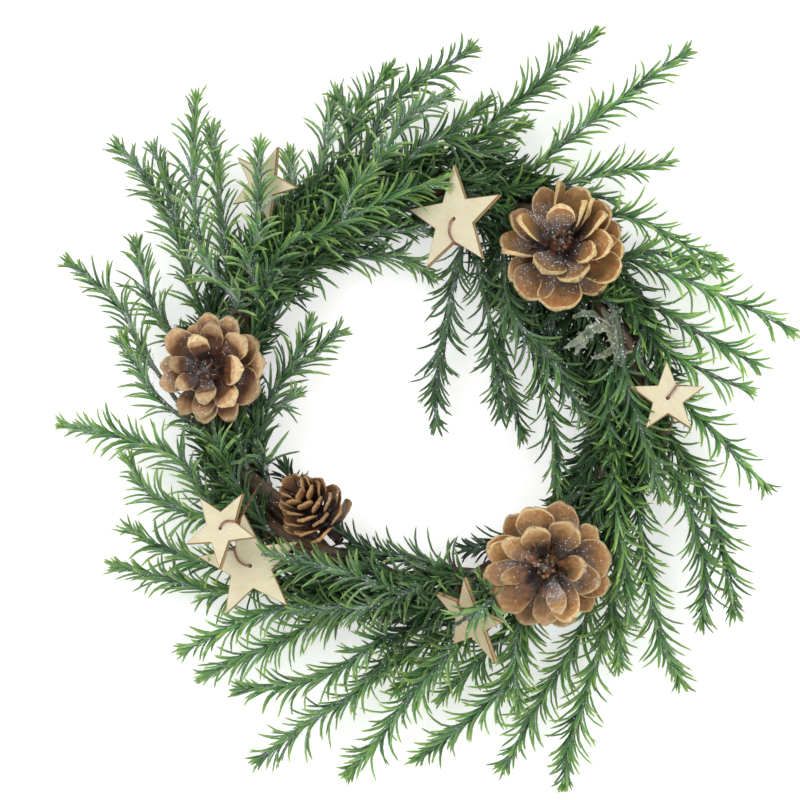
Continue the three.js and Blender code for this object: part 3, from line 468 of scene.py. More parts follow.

# Pine sprays. Each has the ring angle and the clock angle of its root between two canes,
# how frosted and full it is, its painted light and tone (a factor on the needles' colour, low
# where a spray lies in painted shade deep in the ring), how many sprigs it has, and its stems.
# A stem is the number of the point of the first one where it forks off, and its own points.

sprays = {
    "left_high": ((204, 62), 0.8, 0.88, 1, 3, [
        (0, [(-95, -19, 25), (-107, -6, 24), (-122, 15, 24), (-132, 31, 26), (-140, 47, 29),
             (-150, 57, 32), (-160, 65, 34)]),
        (1, [(-116, 0, 30), (-126, 10, 32), (-133, 22, 33), (-138, 30, 34)])]),
    "left_short": ((176, 6), 0.9, 0.88, 0.9, 3, [
        (0, [(-103, 28, 12), (-115, 34, 13), (-124, 45, 17), (-129, 57, 20), (-133, 74, 24)])]),
    "left_tall": ((169, 10), 0.9, 0.88, 0.95, 3, [
        (0, [(-100, 40, 13), (-107, 53, 14), (-112, 71, 16), (-118, 88, 18), (-126, 102, 21),
             (-133, 112, 24), (-139, 118, 26)]),
        (2, [(-117, 96, 24), (-121, 107, 26), (-124, 116, 28)])]),
    "left_spire": ((162, 74), 1, 0.88, 1, 3, [
        (0, [(-87, 50, 25), (-98, 63, 25), (-105, 82, 27), (-107, 99, 30), (-107, 116, 32),
             (-106, 139, 34)]),
        (0, [(-90, 61, 18), (-93, 77, 18), (-95, 92, 19), (-97, 108, 20), (-99, 125, 21)])]),
    "star_left_front_spray": ((157, 130), 1, 0.88, 1.05, 3, [
        (0, [(-81, 63, 25), (-82, 69, 29), (-78, 81, 34), (-77, 94, 38), (-77, 107, 39),
             (-77, 118, 39)])]),
    "left_top": ((138, 50), 1, 0.88, 0.95, 3, [
        (0, [(-69, 77, 16), (-60, 91, 18), (-52, 105, 21), (-47, 121, 24), (-45, 137, 26)]),
        (0, [(-66, 89, 22), (-63, 101, 23), (-63, 114, 23)])]),
    "top_left": ((131, 20), 0.9, 1, 0.9, 3, [
        (0, [(-59, 85, 12), (-49, 98, 12), (-41, 113, 14), (-35, 128, 17), (-29, 142, 20),
             (-20, 154, 23)]),
        (3, [(-37, 136, 22), (-40, 142, 25)])]),
    "top_sweep": ((134, 150), 0.6, 1, 0.9, 3, [
        (0, [(-53, 90, 20), (-39, 105, 18), (-28, 120, 20), (-22, 134, 23), (-12, 146, 26),
             (2, 154, 29), (17, 164, 32)])]),
    "top_frosted": ((126, 100), 1, 1, 0.95, 3, [
        (0, [(-38, 98, 27), (-27, 109, 29), (-18, 122, 30), (-12, 132, 32), (-3, 139, 34),
             (6, 143, 35)])]),
    "top_bright": ((147, 90), 0.5, 1, 1.1, 3, [
        (0, [(-64, 77, 29), (-53, 81, 31), (-40, 86, 33), (-26, 94, 34), (-10, 101, 34),
             (3, 104, 34)]),
        (2, [(-35, 98, 38), (-28, 108, 40)])]),
    "inner_top_left": ((146, 200), 0.8, 1, 0.85, 3, [
        (0, [(-66, 61, 14), (-58, 66, 13), (-43, 70, 13), (-27, 72, 13), (-13, 71, 12),
             (-2, 65, 11)]),
        (1, [(-41, 77, 19), (-26, 81, 20), (-10, 84, 20), (2, 83, 20)])]),
    "top_long": ((98, 9), 0.4, 1, 1, 3, [
        (0, [(-2, 111, 12), (10, 117, 13), (23, 126, 15), (35, 137, 18), (46, 146, 21),
             (59, 158, 24), (74, 171, 27)]),
        (2, [(33, 127, 11), (40, 130, 10)])]),
    "top_short": ((107, 60), 0.5, 1, 0.85, 3, [
        (0, [(-17, 108, 23), (-7, 118, 24), (6, 126, 25), (16, 132, 26), (24, 139, 27)]),
        (2, [(19, 120, 20), (33, 120, 18)])]),
    "top_right_long": ((79, 2), 0.4, 0.66, 1.15, 3, [
        (0, [(31, 109, 11), (46, 111, 12), (58, 120, 14), (73, 132, 17), (87, 142, 20),
             (101, 153, 24), (116, 163, 27)])]),
    "right_top": ((66, 10), 0.4, 0.66, 1.2, 3, [
        (0, [(54, 102, 13), (69, 106, 15), (85, 110, 18), (99, 112, 20), (108, 114, 21)]),
        (0, [(73, 100, 10), (83, 98, 9)])]),
    "right_high": ((53, 13), 0.3, 0.66, 1.2, 3, [
        (0, [(74, 88, 14), (87, 90, 18), (101, 86, 21), (115, 78, 23), (129, 72, 24)])]),
    "right_wide": ((42, 357), 0.3, 0.66, 1.25, 3, [
        (0, [(87, 72, 10), (102, 67, 12), (120, 60, 14), (137, 52, 17), (151, 46, 20),
             (164, 39, 22)]),
        (0, [(102, 74, 8), (118, 70, 7), (132, 66, 7)])]),
    "right_mid": ((31, 6), 0.3, 0.66, 1.2, 3, [
        (0, [(96, 54, 12), (108, 47, 14), (125, 36, 17), (138, 29, 20), (150, 22, 22)]),
        (0, [(98, 40, 17), (111, 28, 19), (126, 19, 20), (144, 11, 21)])]),
    "right_low": ((16, 70), 0.3, 0.66, 1.15, 3, [
        (0, [(96, 26, 21), (104, 15, 22), (117, 4, 23), (129, -7, 24), (142, -21, 26),
             (153, -32, 28)])]),
    "right_down": ((1, 9), 0.4, 1, 0.85, 3, [
        (0, [(102, 2, 12), (113, -15, 13), (124, -31, 15), (132, -50, 18), (137, -70, 20),
             (140, -88, 22)]),
        (0, [(106, -16, 19), (116, -34, 22), (123, -55, 24), (127, -73, 26), (126, -92, 28)])]),
    "right_lower": ((349, 35), 0.4, 1, 0.95, 3, [
        (0, [(98, -20, 17), (97, -36, 17), (98, -55, 17), (101, -73, 18), (104, -91, 20),
             (108, -107, 22), (115, -121, 24)])]),
    "right_front": ((27, 94), 0.4, 1, 0.85, 3, [
        (0, [(87, 41, 27), (89, 28, 30), (91, 12, 32), (96, -4, 33), (101, -19, 34),
             (106, -35, 35)]),
        (1, [(84, 16, 28), (83, 1, 28), (85, -16, 28)])]),
    "inner_right": ((6, 130), 0.6, 1, 0.7, 3, [
        (0, [(81, 9, 17), (77, -6, 16), (75, -22, 15), (75, -35, 14)])]),
    "right_short": ((341, 79), 0.4, 1, 1, 3, [
        (0, [(87, -31, 25), (87, -46, 26), (89, -62, 26), (91, -77, 26), (92, -92, 26)])]),
    "low_right_long": ((330, 25), 0.4, 1, 1.05, 3, [
        (0, [(85, -51, 16), (88, -67, 14), (85, -86, 13), (80, -107, 15), (73, -129, 18),
             (66, -150, 21), (63, -169, 24)]),
        (2, [(87, -101, 19), (88, -112, 21)])]),
    "low_right": ((321, 352), 0.4, 1, 1.05, 3, [
        (0, [(77, -71, 8), (74, -93, 8), (65, -113, 9), (54, -129, 11), (46, -144, 13),
             (37, -160, 15)])]),
    "low_mid": ((302, 28), 0.5, 1, 1.05, 3, [
        (0, [(47, -86, 18), (41, -102, 20), (40, -119, 22), (41, -133, 24)]),
        (0, [(44, -106, 12), (37, -124, 12), (25, -137, 13), (11, -148, 15), (-1, -157, 17)])]),
    "low_left_long": ((290, 5), 0.5, 1, 1.16, 1, [
        (0, [(21, -96, 12), (11, -110, 13), (-1, -123, 15), (-12, -136, 18), (-22, -150, 21),
             (-34, -163, 24)])]),
    "low_sweep": ((273, 355), 0.7, 1, 1.01, 2, [
        (0, [(-10, -102, 9), (-19, -114, 14), (-33, -129, 17), (-49, -139, 19), (-63, -149, 21),
             (-75, -158, 23)]),
        (0, [(-24, -106, 22), (-36, -115, 24), (-51, -122, 26), (-66, -126, 28),
             (-82, -127, 29)])]),
    "low_left": ((257, 3), 0.6, 1, 1.16, 3, [
        (0, [(-31, -85, 11), (-46, -95, 11), (-59, -101, 12), (-73, -108, 13), (-87, -114, 14),
             (-100, -120, 15)]),
        (0, [(-47, -85, 17), (-61, -89, 19), (-77, -93, 21), (-92, -100, 22), (-107, -107, 23)])]),
    "left_bottom": ((232, 2), 0.6, 1, 1.16, 3, [
        (0, [(-70, -64, 11), (-80, -79, 11), (-95, -83, 12), (-112, -79, 14), (-128, -75, 16),
             (-139, -72, 18)]),
        (0, [(-87, -69, 16), (-100, -70, 17), (-113, -66, 18), (-125, -61, 20),
             (-134, -56, 22)])]),
    "left_far": ((218, 16), 0.7, 1, 1.16, 3, [
        (0, [(-87, -46, 14), (-95, -47, 15), (-108, -47, 18), (-120, -42, 22), (-130, -35, 25),
             (-136, -25, 28)]),
        (1, [(-104, -36, 18), (-113, -24, 20), (-123, -18, 22), (-139, -12, 24), (-152, -9, 26),
             (-163, -7, 28)])]),
    "inner_left": ((202, 148), 0.9, 1, 0.9, 3, [
        (0, [(-78, -13, 17), (-74, 2, 17), (-68, 13, 17), (-57, 23, 17), (-44, 34, 17)]),
        (1, [(-67, 3, 22), (-63, 6, 24)]),
        (2, [(-59, 28, 22), (-55, 37, 24)])]),
    "inner_top_drop": ((86, 169), 0.7, 0.88, 0.62, 3, [
        (0, [(16, 83, 14), (14, 69, 14), (11, 55, 14), (9, 41, 14), (6, 26, 14), (4, 11, 14),
             (4, -2, 14)]),
        (0, [(22, 72, 18), (26, 56, 19), (29, 38, 19), (31, 20, 19), (33, 2, 19)])]),
    "inner_right_drop": ((72, 157), 0.6, 0.88, 0.67, 3, [
        (0, [(34, 75, 19), (36, 56, 22), (42, 40, 24), (49, 27, 25), (54, 9, 26), (57, -9, 26),
             (59, -30, 26)]),
        (1, [(34, 35, 15), (35, 18, 14), (39, 5, 14), (42, -6, 14)]),
        (2, [(56, 25, 30), (64, 11, 32), (69, 1, 33)])]),
    "low_front": ((271, 86), 0.9, 1, 0.9, 1, [
        (0, [(-9, -83, 27), (-20, -80, 31), (-34, -75, 35), (-50, -70, 38), (-65, -67, 40),
             (-76, -65, 41)]),
        (0, [(-26, -89, 28), (-42, -90, 29), (-59, -91, 30)])]),
    "inner_low": ((287, 104), 0.8, 1, 0.85, 2, [
        (0, [(18, -78, 22), (10, -72, 18), (-1, -69, 17), (-16, -66, 17), (-30, -65, 17)]),
        (0, [(25, -81, 33), (28, -85, 42), (25.5, -88, 48), (21, -91.5, 48.5), (16, -95, 44),
             (12, -98, 38)])]),
}

# Stems of the sprays: where they run

stemShape = {"radius": 1.35, "rootRadius": 1.25, "tipRadius": 0.85, "sideRadius": 1.15,
             "rideHeight": 12.9, "rootSteps": 5, "step": 2.2, "sides": 8}


def liftOffRing(points):
    # past its root a stem lies on the canes, never in them
    points = np.array(points, float)
    flat = points[:, :2] - ring["centre"]
    flat = unit(flat) * ring["radius"] + ring["centre"]
    middle = np.column_stack([flat, np.full(len(points), ring["height"])])
    away = points - middle
    far = np.linalg.norm(away, axis=1, keepdims=True)
    return middle + away * np.maximum(1, stemShape["rideHeight"] / far)


def clockDifference(a, b):
    return abs((a - b + 540) % 360 - 180)


def rootPoints(exitAngle, clock):
    # the root lies in the groove between two canes and climbs out of it clockwise
    strand = min(range(3), key=lambda k: clockDifference(caneClock(exitAngle, k) + 60, clock))
    return [besideRing(exitAngle + before, caneClock(exitAngle + before, strand) + 60, distance)
            for before, distance in ((9, 7), (6, 7.2), (2.5, 9), (0, 12.9))]


def stemLines(root, stems):
    lines = []
    for i, (fork, points) in enumerate(stems):
        if i == 0:
            start = rootPoints(*root)
        else:
            away = lines[0] - liftOffRing([stems[0][1][fork]])
            start = lines[0][[np.argmin(np.linalg.norm(away, axis=1))]]
        line = smoothLine(np.vstack([start, liftOffRing(points)]), stemShape["step"])
        free = stemShape["rootSteps"] if i == 0 else 0
        line[free:] = liftOffRing(line[free:])
        lines.append(line)
    return lines


sprayLines = {name: stemLines(root, stems) for name, (root, *_, stems) in sprays.items()}

# Wires: the loops that bind the sprays to the canes, and the one that holds each star

bindingWire = {"radius": 0.5, "places": (158, 278, 350), "sides": 10, "step": 0.5,
               "stemRadius": 2.35, "gap": 0.85, "near": 2.5, "reach": 19}


def wireMaterial(name, dark, light, roughness, metallic, coat):
    material, tree, skin = newMaterial(name, {"Metallic": metallic, "Coat Weight": coat})
    place = tree.place()
    wear = tree.mapRange(tree.noise(place, 320, 4, 0.7), 0.35, 0.65)
    base = tree.mix(wear, colour(*dark), colour(*light))
    frostOver(tree, skin, base, 0.25, 0.05, (190, 180, 170), roughness)
    tree.bump(skin, tree.noise(place, 2600, 2, 0.5), 0.4, 0.0001)
    return material


def bindingPoints(angle, lines):
    # as a taut loop round the canes and round the stems that lie on them there
    circles = [(ring["caneOffset"] * cosd(caneClock(angle, strand)),
                ring["caneOffset"] * sind(caneClock(angle, strand)), ring["caneRadius"])
               for strand in range(3)]
    out, along = heading(angle), heading(angle + 90)
    middle = besideRing(angle, 0, 0)
    for line in lines:
        offset = line - middle
        near = np.abs(offset @ along) < bindingWire["near"]
        near &= np.linalg.norm(offset, axis=1) < bindingWire["reach"]
        circles += [(point @ out, point[2], bindingWire["stemRadius"]) for point in offset[near]]
    circles = np.array(circles)
    turn = np.radians(np.arange(0, 360, 5))
    directions = np.column_stack([np.cos(turn), np.sin(turn)])
    best = circles[np.argmax(directions @ circles[:, :2].T + circles[:, 2], axis=1)]
    flat = best[:, :2] + (best[:, 2:] + bindingWire["gap"]) * directions
    return middle + flat[:, :1] * out + flat[:, 1:] * np.array([0, 0, 1.0])


def bindingLoop(angle, lines):
    loop = roundedLine(bindingPoints(angle, lines), closed=True, rounds=1)
    loop = evenSteps(np.vstack([loop, loop[:1]]), bindingWire["step"])[:-1]
    loop[:, 2] = np.maximum(loop[:, 2], bindingWire["radius"] + 0.05)
    return loop


def makeWire(line, radius, sides, name, material, node, closed=False, hint=None):
    # a wire with the low spiral ridge of the paper or lacquer round it
    ridge = 0.5 + 0.5 * np.sin(roundTurn(sides) + np.arange(len(line))[:, None] * 2 * np.pi / 7)
    shape = Shape("tone")
    shape.add(tubePoints(line, radius * (0.92 + 0.08 * ridge), sides, hint, closed),
              loftFaces(len(line), sides, closed), tone=ridge.ravel())
    shape.build(name, [material], node)


bindingPaper = wireMaterial("bindingPaper", (52, 22, 18), (112, 52, 40), 0.75, 0.0, 0.0)
allStems = [line for lines in sprayLines.values() for line in lines]
bindingLoops = [bindingLoop(angle, allStems) for angle in bindingWire["places"]]
for i, (angle, loop) in enumerate(zip(bindingWire["places"], bindingLoops)):
    makeWire(loop, bindingWire["radius"], bindingWire["sides"], f"binding_loop_{i + 1}",
             bindingPaper, f"binding_wire_{i + 1}", True, heading(angle + 90))
print("wreath: binding wires made")

# Plywood stars on wires. Each has the place of its middle, the reach of its tips, the direction of
# its first tip, the direction it leans in and by how much, the notch that the wire passes over and
# how far it bows aside on the way, and either the ring angle, clock angle and sink of the wire's
# end or the points of its tail. Needles may lie over a covered star.

stars = {
    "star_top": {"at": (12.5, 87.8, 37), "reach": 25.8, "firstTip": 90, "lean": (160, 35),
                 "notch": 2, "bow": -2.4, "anchor": (86, 100, 0.2), "grain": 62},
    "star_left_front": {"at": (-94.2, -53.4, 40), "reach": 18.9, "firstTip": 125,
                        "lean": (154, 30), "notch": 3, "bow": 1.8,
                        "anchor": (209, 105, 0.6), "grain": 20},
    "star_left_back": {"at": (-81.1, -70.7, 27), "reach": 25.4, "firstTip": 98,
                       "lean": (176, 14), "notch": 0, "bow": 2.4, "anchor": (223, 45, 0.8),
                       "grain": 105},
    "star_right": {"at": (109.5, 5.9, 36.5), "reach": 17.9, "firstTip": 91, "lean": (75, 17),
                   "notch": 4, "grain": 40,
                   "tail": [(112, -3, 31), (111.5, -9, 27.5), (106, -10, 23.5),
                            (102.4, -6.4, 20.8)]},
    # star_bottom's face is darkened and browned: painted shade, with a browner tone
    "star_bottom": {"at": (19.7, -94.9, 36), "reach": 22.8, "firstTip": 98, "lean": (212, 56),
                    "notch": 0, "anchor": (279, 60, 0.1), "grain": 75, "aged": 0.4},
    "star_top_left": {"at": (-75.2, 104.3, 26), "reach": 18.4, "firstTip": 68,
                      "lean": (177, 30), "notch": 2, "anchor": (139, 0, 1.2), "grain": 130,
                      "covered": True},
}
starShape = {"waist": 0.41, "thickness": 2.4, "holeRadius": 0.8, "bevel": 0.12, "perEdge": 12,
             "wireRadius": 0.4, "wrapped": 0.52}


def leaningAxis(towards, angle):
    return np.array([sind(angle) * cosd(towards), sind(angle) * sind(towards), cosd(angle)])


def starFrame(star):
    normal = leaningAxis(*star["lean"])
    first = heading(star["firstTip"])
    first[2] = -(normal[:2] @ first[:2]) / normal[2]
    first = unit(first)
    return np.array([first, np.cross(normal, first), normal]), np.array(star["at"], float)


def starCorners(reach, inset=0.0):
    # corners of the outline, moved inwards by the inset
    turn = np.radians(36 * np.arange(10))
    corners = np.column_stack([np.cos(turn), np.sin(turn)]) * np.where(
        np.arange(10) % 2, reach * starShape["waist"], reach)[:, None]
    edge = unit(np.roll(corners, -1, axis=0) - corners)
    inwards = np.column_stack([-edge[:, 1], edge[:, 0]])
    before = np.roll(inwards, 1, axis=0)
    mitre = (before + inwards) / (1 + np.sum(before * inwards, axis=1, keepdims=True))
    return corners + inset * mitre


def starLoop(reach, inset):
    corners = starCorners(reach, inset)
    share = np.linspace(0, 1, starShape["perEdge"], endpoint=False)[None, :, None]
    return (corners[:, None] * (1 - share) + np.roll(corners, -1, axis=0)[:, None] * share
            ).reshape(-1, 2)


def plywoodMaterial():
    # birch face with fine fibres, browned where the saw or laser cut it
    material, tree, skin = newMaterial("birchPlywood", {"Specular IOR Level": 0.3})
    fibres = fibresOf(tree, (216, 205, 166), (236, 229, 198), 1.1, 0.5)
    place = tree.place()
    stain = tree.mapRange(tree.noise(place, 70, 3, 0.6), 0.55, 0.75, 0, 0.35)
    face = tree.mix(stain, fibres["Color"], colour(206, 178, 134))
    smoke = tree.times(tree.noise(place, 260, 3, 0.6), 0.35)
    browned = tree.mapRange(tree.math("ADD", tree.attribute("rim"), smoke), 0.78, 1.2)
    face = tree.mix(browned, face, colour(162, 118, 66))
    # the face of star_bottom is darkened and browned by its value: painted shade, with a browner
    # tone
    face = tree.mix(tree.attribute("aged"), face, colour(186, 146, 92))
    layer = tree.mapRange(tree.attribute("layer"), 0.25, 0.45)
    cut = tree.mix(layer, colour(112, 80, 46), colour(188, 158, 106))
    cut = tree.tint(cut, tree.mapRange(tree.noise(place, 900, 3, 0.6), 0.3, 0.7, 0.75, 1.2))
    base = tree.mix(tree.attribute("wall"), face, cut)
    frostOver(tree, skin, base, 0.1, 0.012, (245, 245, 245), 0.62)
    tree.bump(skin, fibres["Height"], 0.3, 0.0002)
    return material


def makeStar(name, star, material):
    half, bevel = starShape["thickness"] / 2, starShape["bevel"]
    reach = star["reach"]
    outer = [(bevel, half, 0.95), (0.45, half, 0.62), (1.1, half, 0.2)]
    face = [(starLoop(reach, inset), height, rim) for inset, height, rim in outer]
    inner = face[-1][0]
    hole = unit(inner) * starShape["holeRadius"]
    for share, rim in ((0.25, 0.05), (0.5, 0), (0.75, 0), (0.9, 0.1)):
        face.append((inner * (1 - share) + hole * share, half, rim))
    face.append((hole * 1.25, half, 0.6))
    face.append((hole, half - bevel, 1.0))
    edge = starLoop(reach, 0)
    walls = [(edge, half - bevel, 1.0)]
    top = walls + face
    rings = [(loop, -height, rim) for loop, height, rim in reversed(top)]
    rings += [(edge, height, 1.0) for height in (-0.62, -0.5, 0, 0.5, 0.62)]
    rings += top + [(hole, height, 1.0) for height in (0.5, -0.5)]
    loops = np.stack([np.column_stack([loop, np.full(len(loop), height)])
                      for loop, height, _ in rings])
    wall = [1.0 if abs(height) < half - 0.01 else 0.0 for _, height, _ in rings]
    layer = [1 - min(1.0, abs(height)) for _, height, _ in rings]
    turn = star["grain"]
    along = loops[..., 0] * cosd(turn) + loops[..., 1] * sind(turn)
    across = loops[..., 1] * cosd(turn) - loops[..., 0] * sind(turn)
    grain = np.stack([along * 0.09 + reach, across, loops[..., 2] * 0.3], -1)
    basis, at = starFrame(star)
    count = loops.shape[1]
    shape = Shape("grain", "rim", "wall", "layer", "aged")
    shape.add(loops @ basis + at, loftFaces(len(rings), count, closed=True),
              grain=grain.reshape(-1, 3), rim=np.repeat([rim for *_, rim in rings], count),
              wall=np.repeat(wall, count), layer=np.repeat(layer, count),
              aged=star.get("aged", 0))
    shape.build(f"{name}_plate", [material], name, smooth=False)


def onCane(angle, clock, sink, above):
    strand = min(range(3), key=lambda k: clockDifference(caneClock(angle, k), clock))
    distance = ring["caneOffset"] + ring["caneRadius"] + above - sink
    return besideRing(angle, caneClock(angle, strand), distance)


def starWirePoints(star):
    # up through the hole, across the face to a notch, round the edge and down behind the star
    basis, at = starFrame(star)
    radius = starShape["wireRadius"]
    face = starShape["thickness"] / 2 + radius + 0.3
    notch = star["reach"] * starShape["waist"]
    towards = 36 + 72 * star["notch"]
    bow = star.get("bow", 0)
    local = [(0, -face - 1.6, 0), (0, 0, 0), (0.25, face + 0.1, 0), (1.6, face + 0.5, bow * 0.6),
             (notch * 0.6, face + 0.3, bow), (notch, face + 0.25, 0),
             (notch + radius + 0.7, face - 0.6, 0), (notch + radius + 0.75, -face + 0.5, 0),
             (notch - 1, -face - 1.2, 0)]
    points = [np.array([cosd(towards) * along - sind(towards) * aside,
                        sind(towards) * along + cosd(towards) * aside, height]) @ basis + at
              for along, height, aside in local]
    if "tail" in star:
        return points + [np.array(point, float) for point in star["tail"]]
    end = onCane(*star["anchor"], radius + 0.15)
    return points + [(points[-1] + end) / 2 + [0, 0, 1], end]


plywood = plywoodMaterial()
rustWire = wireMaterial("rustBrownWire", (96, 46, 30), (176, 104, 74), 0.42, 0.3, 0.3)
for name, star in stars.items():
    makeStar(name, star, plywood)
    line = evenSteps(roundedLine(starWirePoints(star)), 0.4)
    makeWire(line, starShape["wrapped"], 10, f"{name}_wire_bend", rustWire, f"{name}_wire")
print("wreath: stars made")

# Pine cones. Each has the foot of its axis, its lean, and the scales of the big ones as they lie
# round the axis: direction, reach, lift, width and roll.

# the near-black base colours are partly painted shade in the hollows between the scales
cones = {
    "cone_top_right": {
        "foot": (62, 73, 19.9), "lean": (105, 11), "reach": 30, "height": 37, "seed": 5,
        "thick": 2.1, "knob": 0.0, "slant": 1.0, "base": (22, 12, 9), "middle": (170, 132, 82),
        "outer": (184, 126, 72), "lip": (240, 212, 152), "frost": 0.36, "glitter": 0.16,
        "bands": (0.36, 0.8, 0.84, 1.02), "resin": (170, 88, 44),
        "scales": [
            (265, 29.8, 10, 21), (231, 29.6, 10, 19.5), (209, 28, 6, 15), (186, 27.5, 16, 12, 55),
            (172, 29, 8, 13, 20), (146, 28.4, 12, 14, 25), (108, 29.4, 12, 13, 10),
            (93, 29.4, 20, 9, 65), (70, 29.4, 12, 15, -15), (54, 25.5, 22, 8, -60),
            (40, 28.6, 12, 17, -15), (19, 28.6, 8, 14), (356, 28.6, 8, 14), (335, 29.4, 10, 17),
            (312, 27.6, 8, 16), (357, 23.4, 28, 14.5), (335, 17, 38, 11), (291, 19.8, 30, 16),
            (240, 17, 36, 16.5), (152, 22.4, 30, 13, 45), (31, 24.4, 26, 13, -55),
            (88, 14.6, 46, 13), (57, 20.8, 34, 10, -65)]},
    "cone_bottom_right": {
        "foot": (56.5, -70, 19.6), "lean": (200, 7), "reach": 30.3, "height": 36, "seed": 9,
        "thick": 2.1, "knob": 0.0, "slant": 0.9, "base": (26, 15, 11), "middle": (186, 144, 96),
        "outer": (214, 174, 120), "lip": (234, 204, 154), "frost": 0.48, "glitter": 0.18,
        "bands": (0.4, 0.8, 0.8, 1.0), "resin": (196, 132, 78),
        "scales": [
            (78, 30, 8, 17), (109, 28.4, 18, 17.5), (131, 29.4, 6, 14), (163, 30, 8, 15),
            (166, 28.4, 18, 13), (188, 29, 22, 12), (206, 29.8, 6, 15), (221, 29, 20, 17),
            (246, 30, 6, 16), (268, 27.2, 16, 13), (287, 29.2, 8, 16), (294, 27, 24, 15),
            (315, 28.4, 6, 13), (340, 29.6, 6, 15), (344, 25.6, 20, 14), (9, 29, 8, 20),
            (39, 27.8, 6, 14), (58, 23.6, 26, 15.5), (108, 19.6, 36, 13.5),
            (147, 22.6, 34, 10.5), (195, 20.8, 36, 8), (6, 18.8, 38, 11.5), (290, 22, 34, 9)]},
    "cone_left": {
        "foot": (-97, 19, 19.75), "lean": (175, 12), "reach": 26, "height": 32, "seed": 14,
        "thick": 2.7, "knob": 1.5, "slant": 0.6, "base": (30, 15, 12), "middle": (134, 94, 64),
        "outer": (222, 184, 136), "lip": (238, 210, 162), "frost": 0.38, "glitter": 0.14,
        "bands": (0.4, 0.72, 0.68, 0.86), "resin": (150, 90, 58),
        "scales": [
            (93, 26, 12, 11.5), (69, 26, 10, 12.5), (32, 25, 8, 14), (9, 24.4, 6, 17),
            (331, 24.4, 8, 18), (291, 25.4, 8, 11), (260, 24.8, 11, 11), (237, 24.4, 18, 9.5),
            (196, 24.4, 15, 10.5), (175, 24, 12, 10), (139, 26, 14, 14.5), (116, 23, 6, 12),
            (82, 21.4, 26, 10.5), (37, 22.8, 24, 13.5), (0, 17.4, 34, 14), (308, 20.2, 26, 12.5),
            (261, 22.4, 22, 11), (169, 17.8, 28, 8), (210, 15.2, 34, 8), (104, 14.8, 42, 10),
            (275, 15.2, 42, 9.5)]},
    "cone_small": {
        "foot": (-44.5, -54.9, 19.3), "lean": (129, 49), "reach": 19.4, "height": 40, "seed": 21,
        "thick": 1.1, "knob": 0.3, "slant": 0.3, "base": (36, 24, 21), "middle": (92, 64, 44),
        "outer": (158, 114, 68), "lip": (184, 144, 96), "frost": 0.3, "glitter": 0.14,
        "bands": (0.22, 0.5, 0.5, 0.82), "resin": (120, 74, 44), "count": 36, "opening": 22,
        "slim": 0.8, "stalk": 9},
}
goldenAngle = 137.5
coneScale = {"rows": 18, "cup": 0.1, "stubs": 9, "coreSides": 16}
# section of a scale, round from its right side: share of the half width, share of the thickness
# under the upper face, and how much of the pale lip shows
scaleSection = np.array(
    [(1, -0.5, 1), (0.98, -0.14, 1), (0.92, 0, 0.4), (0.74, 0, 0), (0.5, 0, 0), (0.25, 0, 0),
     (0, 0, 0), (-0.25, 0, 0), (-0.5, 0, 0), (-0.74, 0, 0), (-0.92, 0, 0.4), (-0.98, -0.14, 1),
     (-1, -0.5, 1), (-0.97, -0.9, 1), (-0.7, -1, 0.5), (-0.35, -1, 0.2), (0, -1, 0.2),
     (0.35, -1, 0.2), (0.7, -1, 0.5), (0.97, -0.9, 1)])


def coneFrame(cone):
    axis = leaningAxis(*cone["lean"])
    side = unit(np.array([1.0, 0, 0]) - axis * axis[0])
    return np.array([side, np.cross(axis, side), axis]), np.array(cone["foot"], float)


def coneScales(cone, rng):
    # direction, lift, width, roll, height on the core and length of each scale
    height = cone["height"]
    if "scales" in cone:
        listed = [tuple(row) + (0,) * (5 - len(row)) for row in cone["scales"]]
        return [(turn, lift, width, roll, height * (0.19 + 0.0115 * (lift - 10)),
                 (reach - 1.5) / cosd(lift)) for turn, reach, lift, width, roll in listed]
    scales = []
    for i in range(cone["count"]):
        share = i / (cone["count"] - 1)
        longest = (cone["reach"] - 2) * rng.uniform(0.96, 1.02)
        scales.append((i * goldenAngle + rng.uniform(0, 6),
                       cone["opening"] + (66 - cone["opening"]) * share ** 1.15,
                       cone["reach"] * 0.6 + (6 - cone["reach"] * 0.6) * share, rng.normal(0, 5),
                       5 + (height * 0.74 - 5) * share ** 0.95,
                       longest + (height * 0.24 - longest) * share ** 1.3))
    return scales


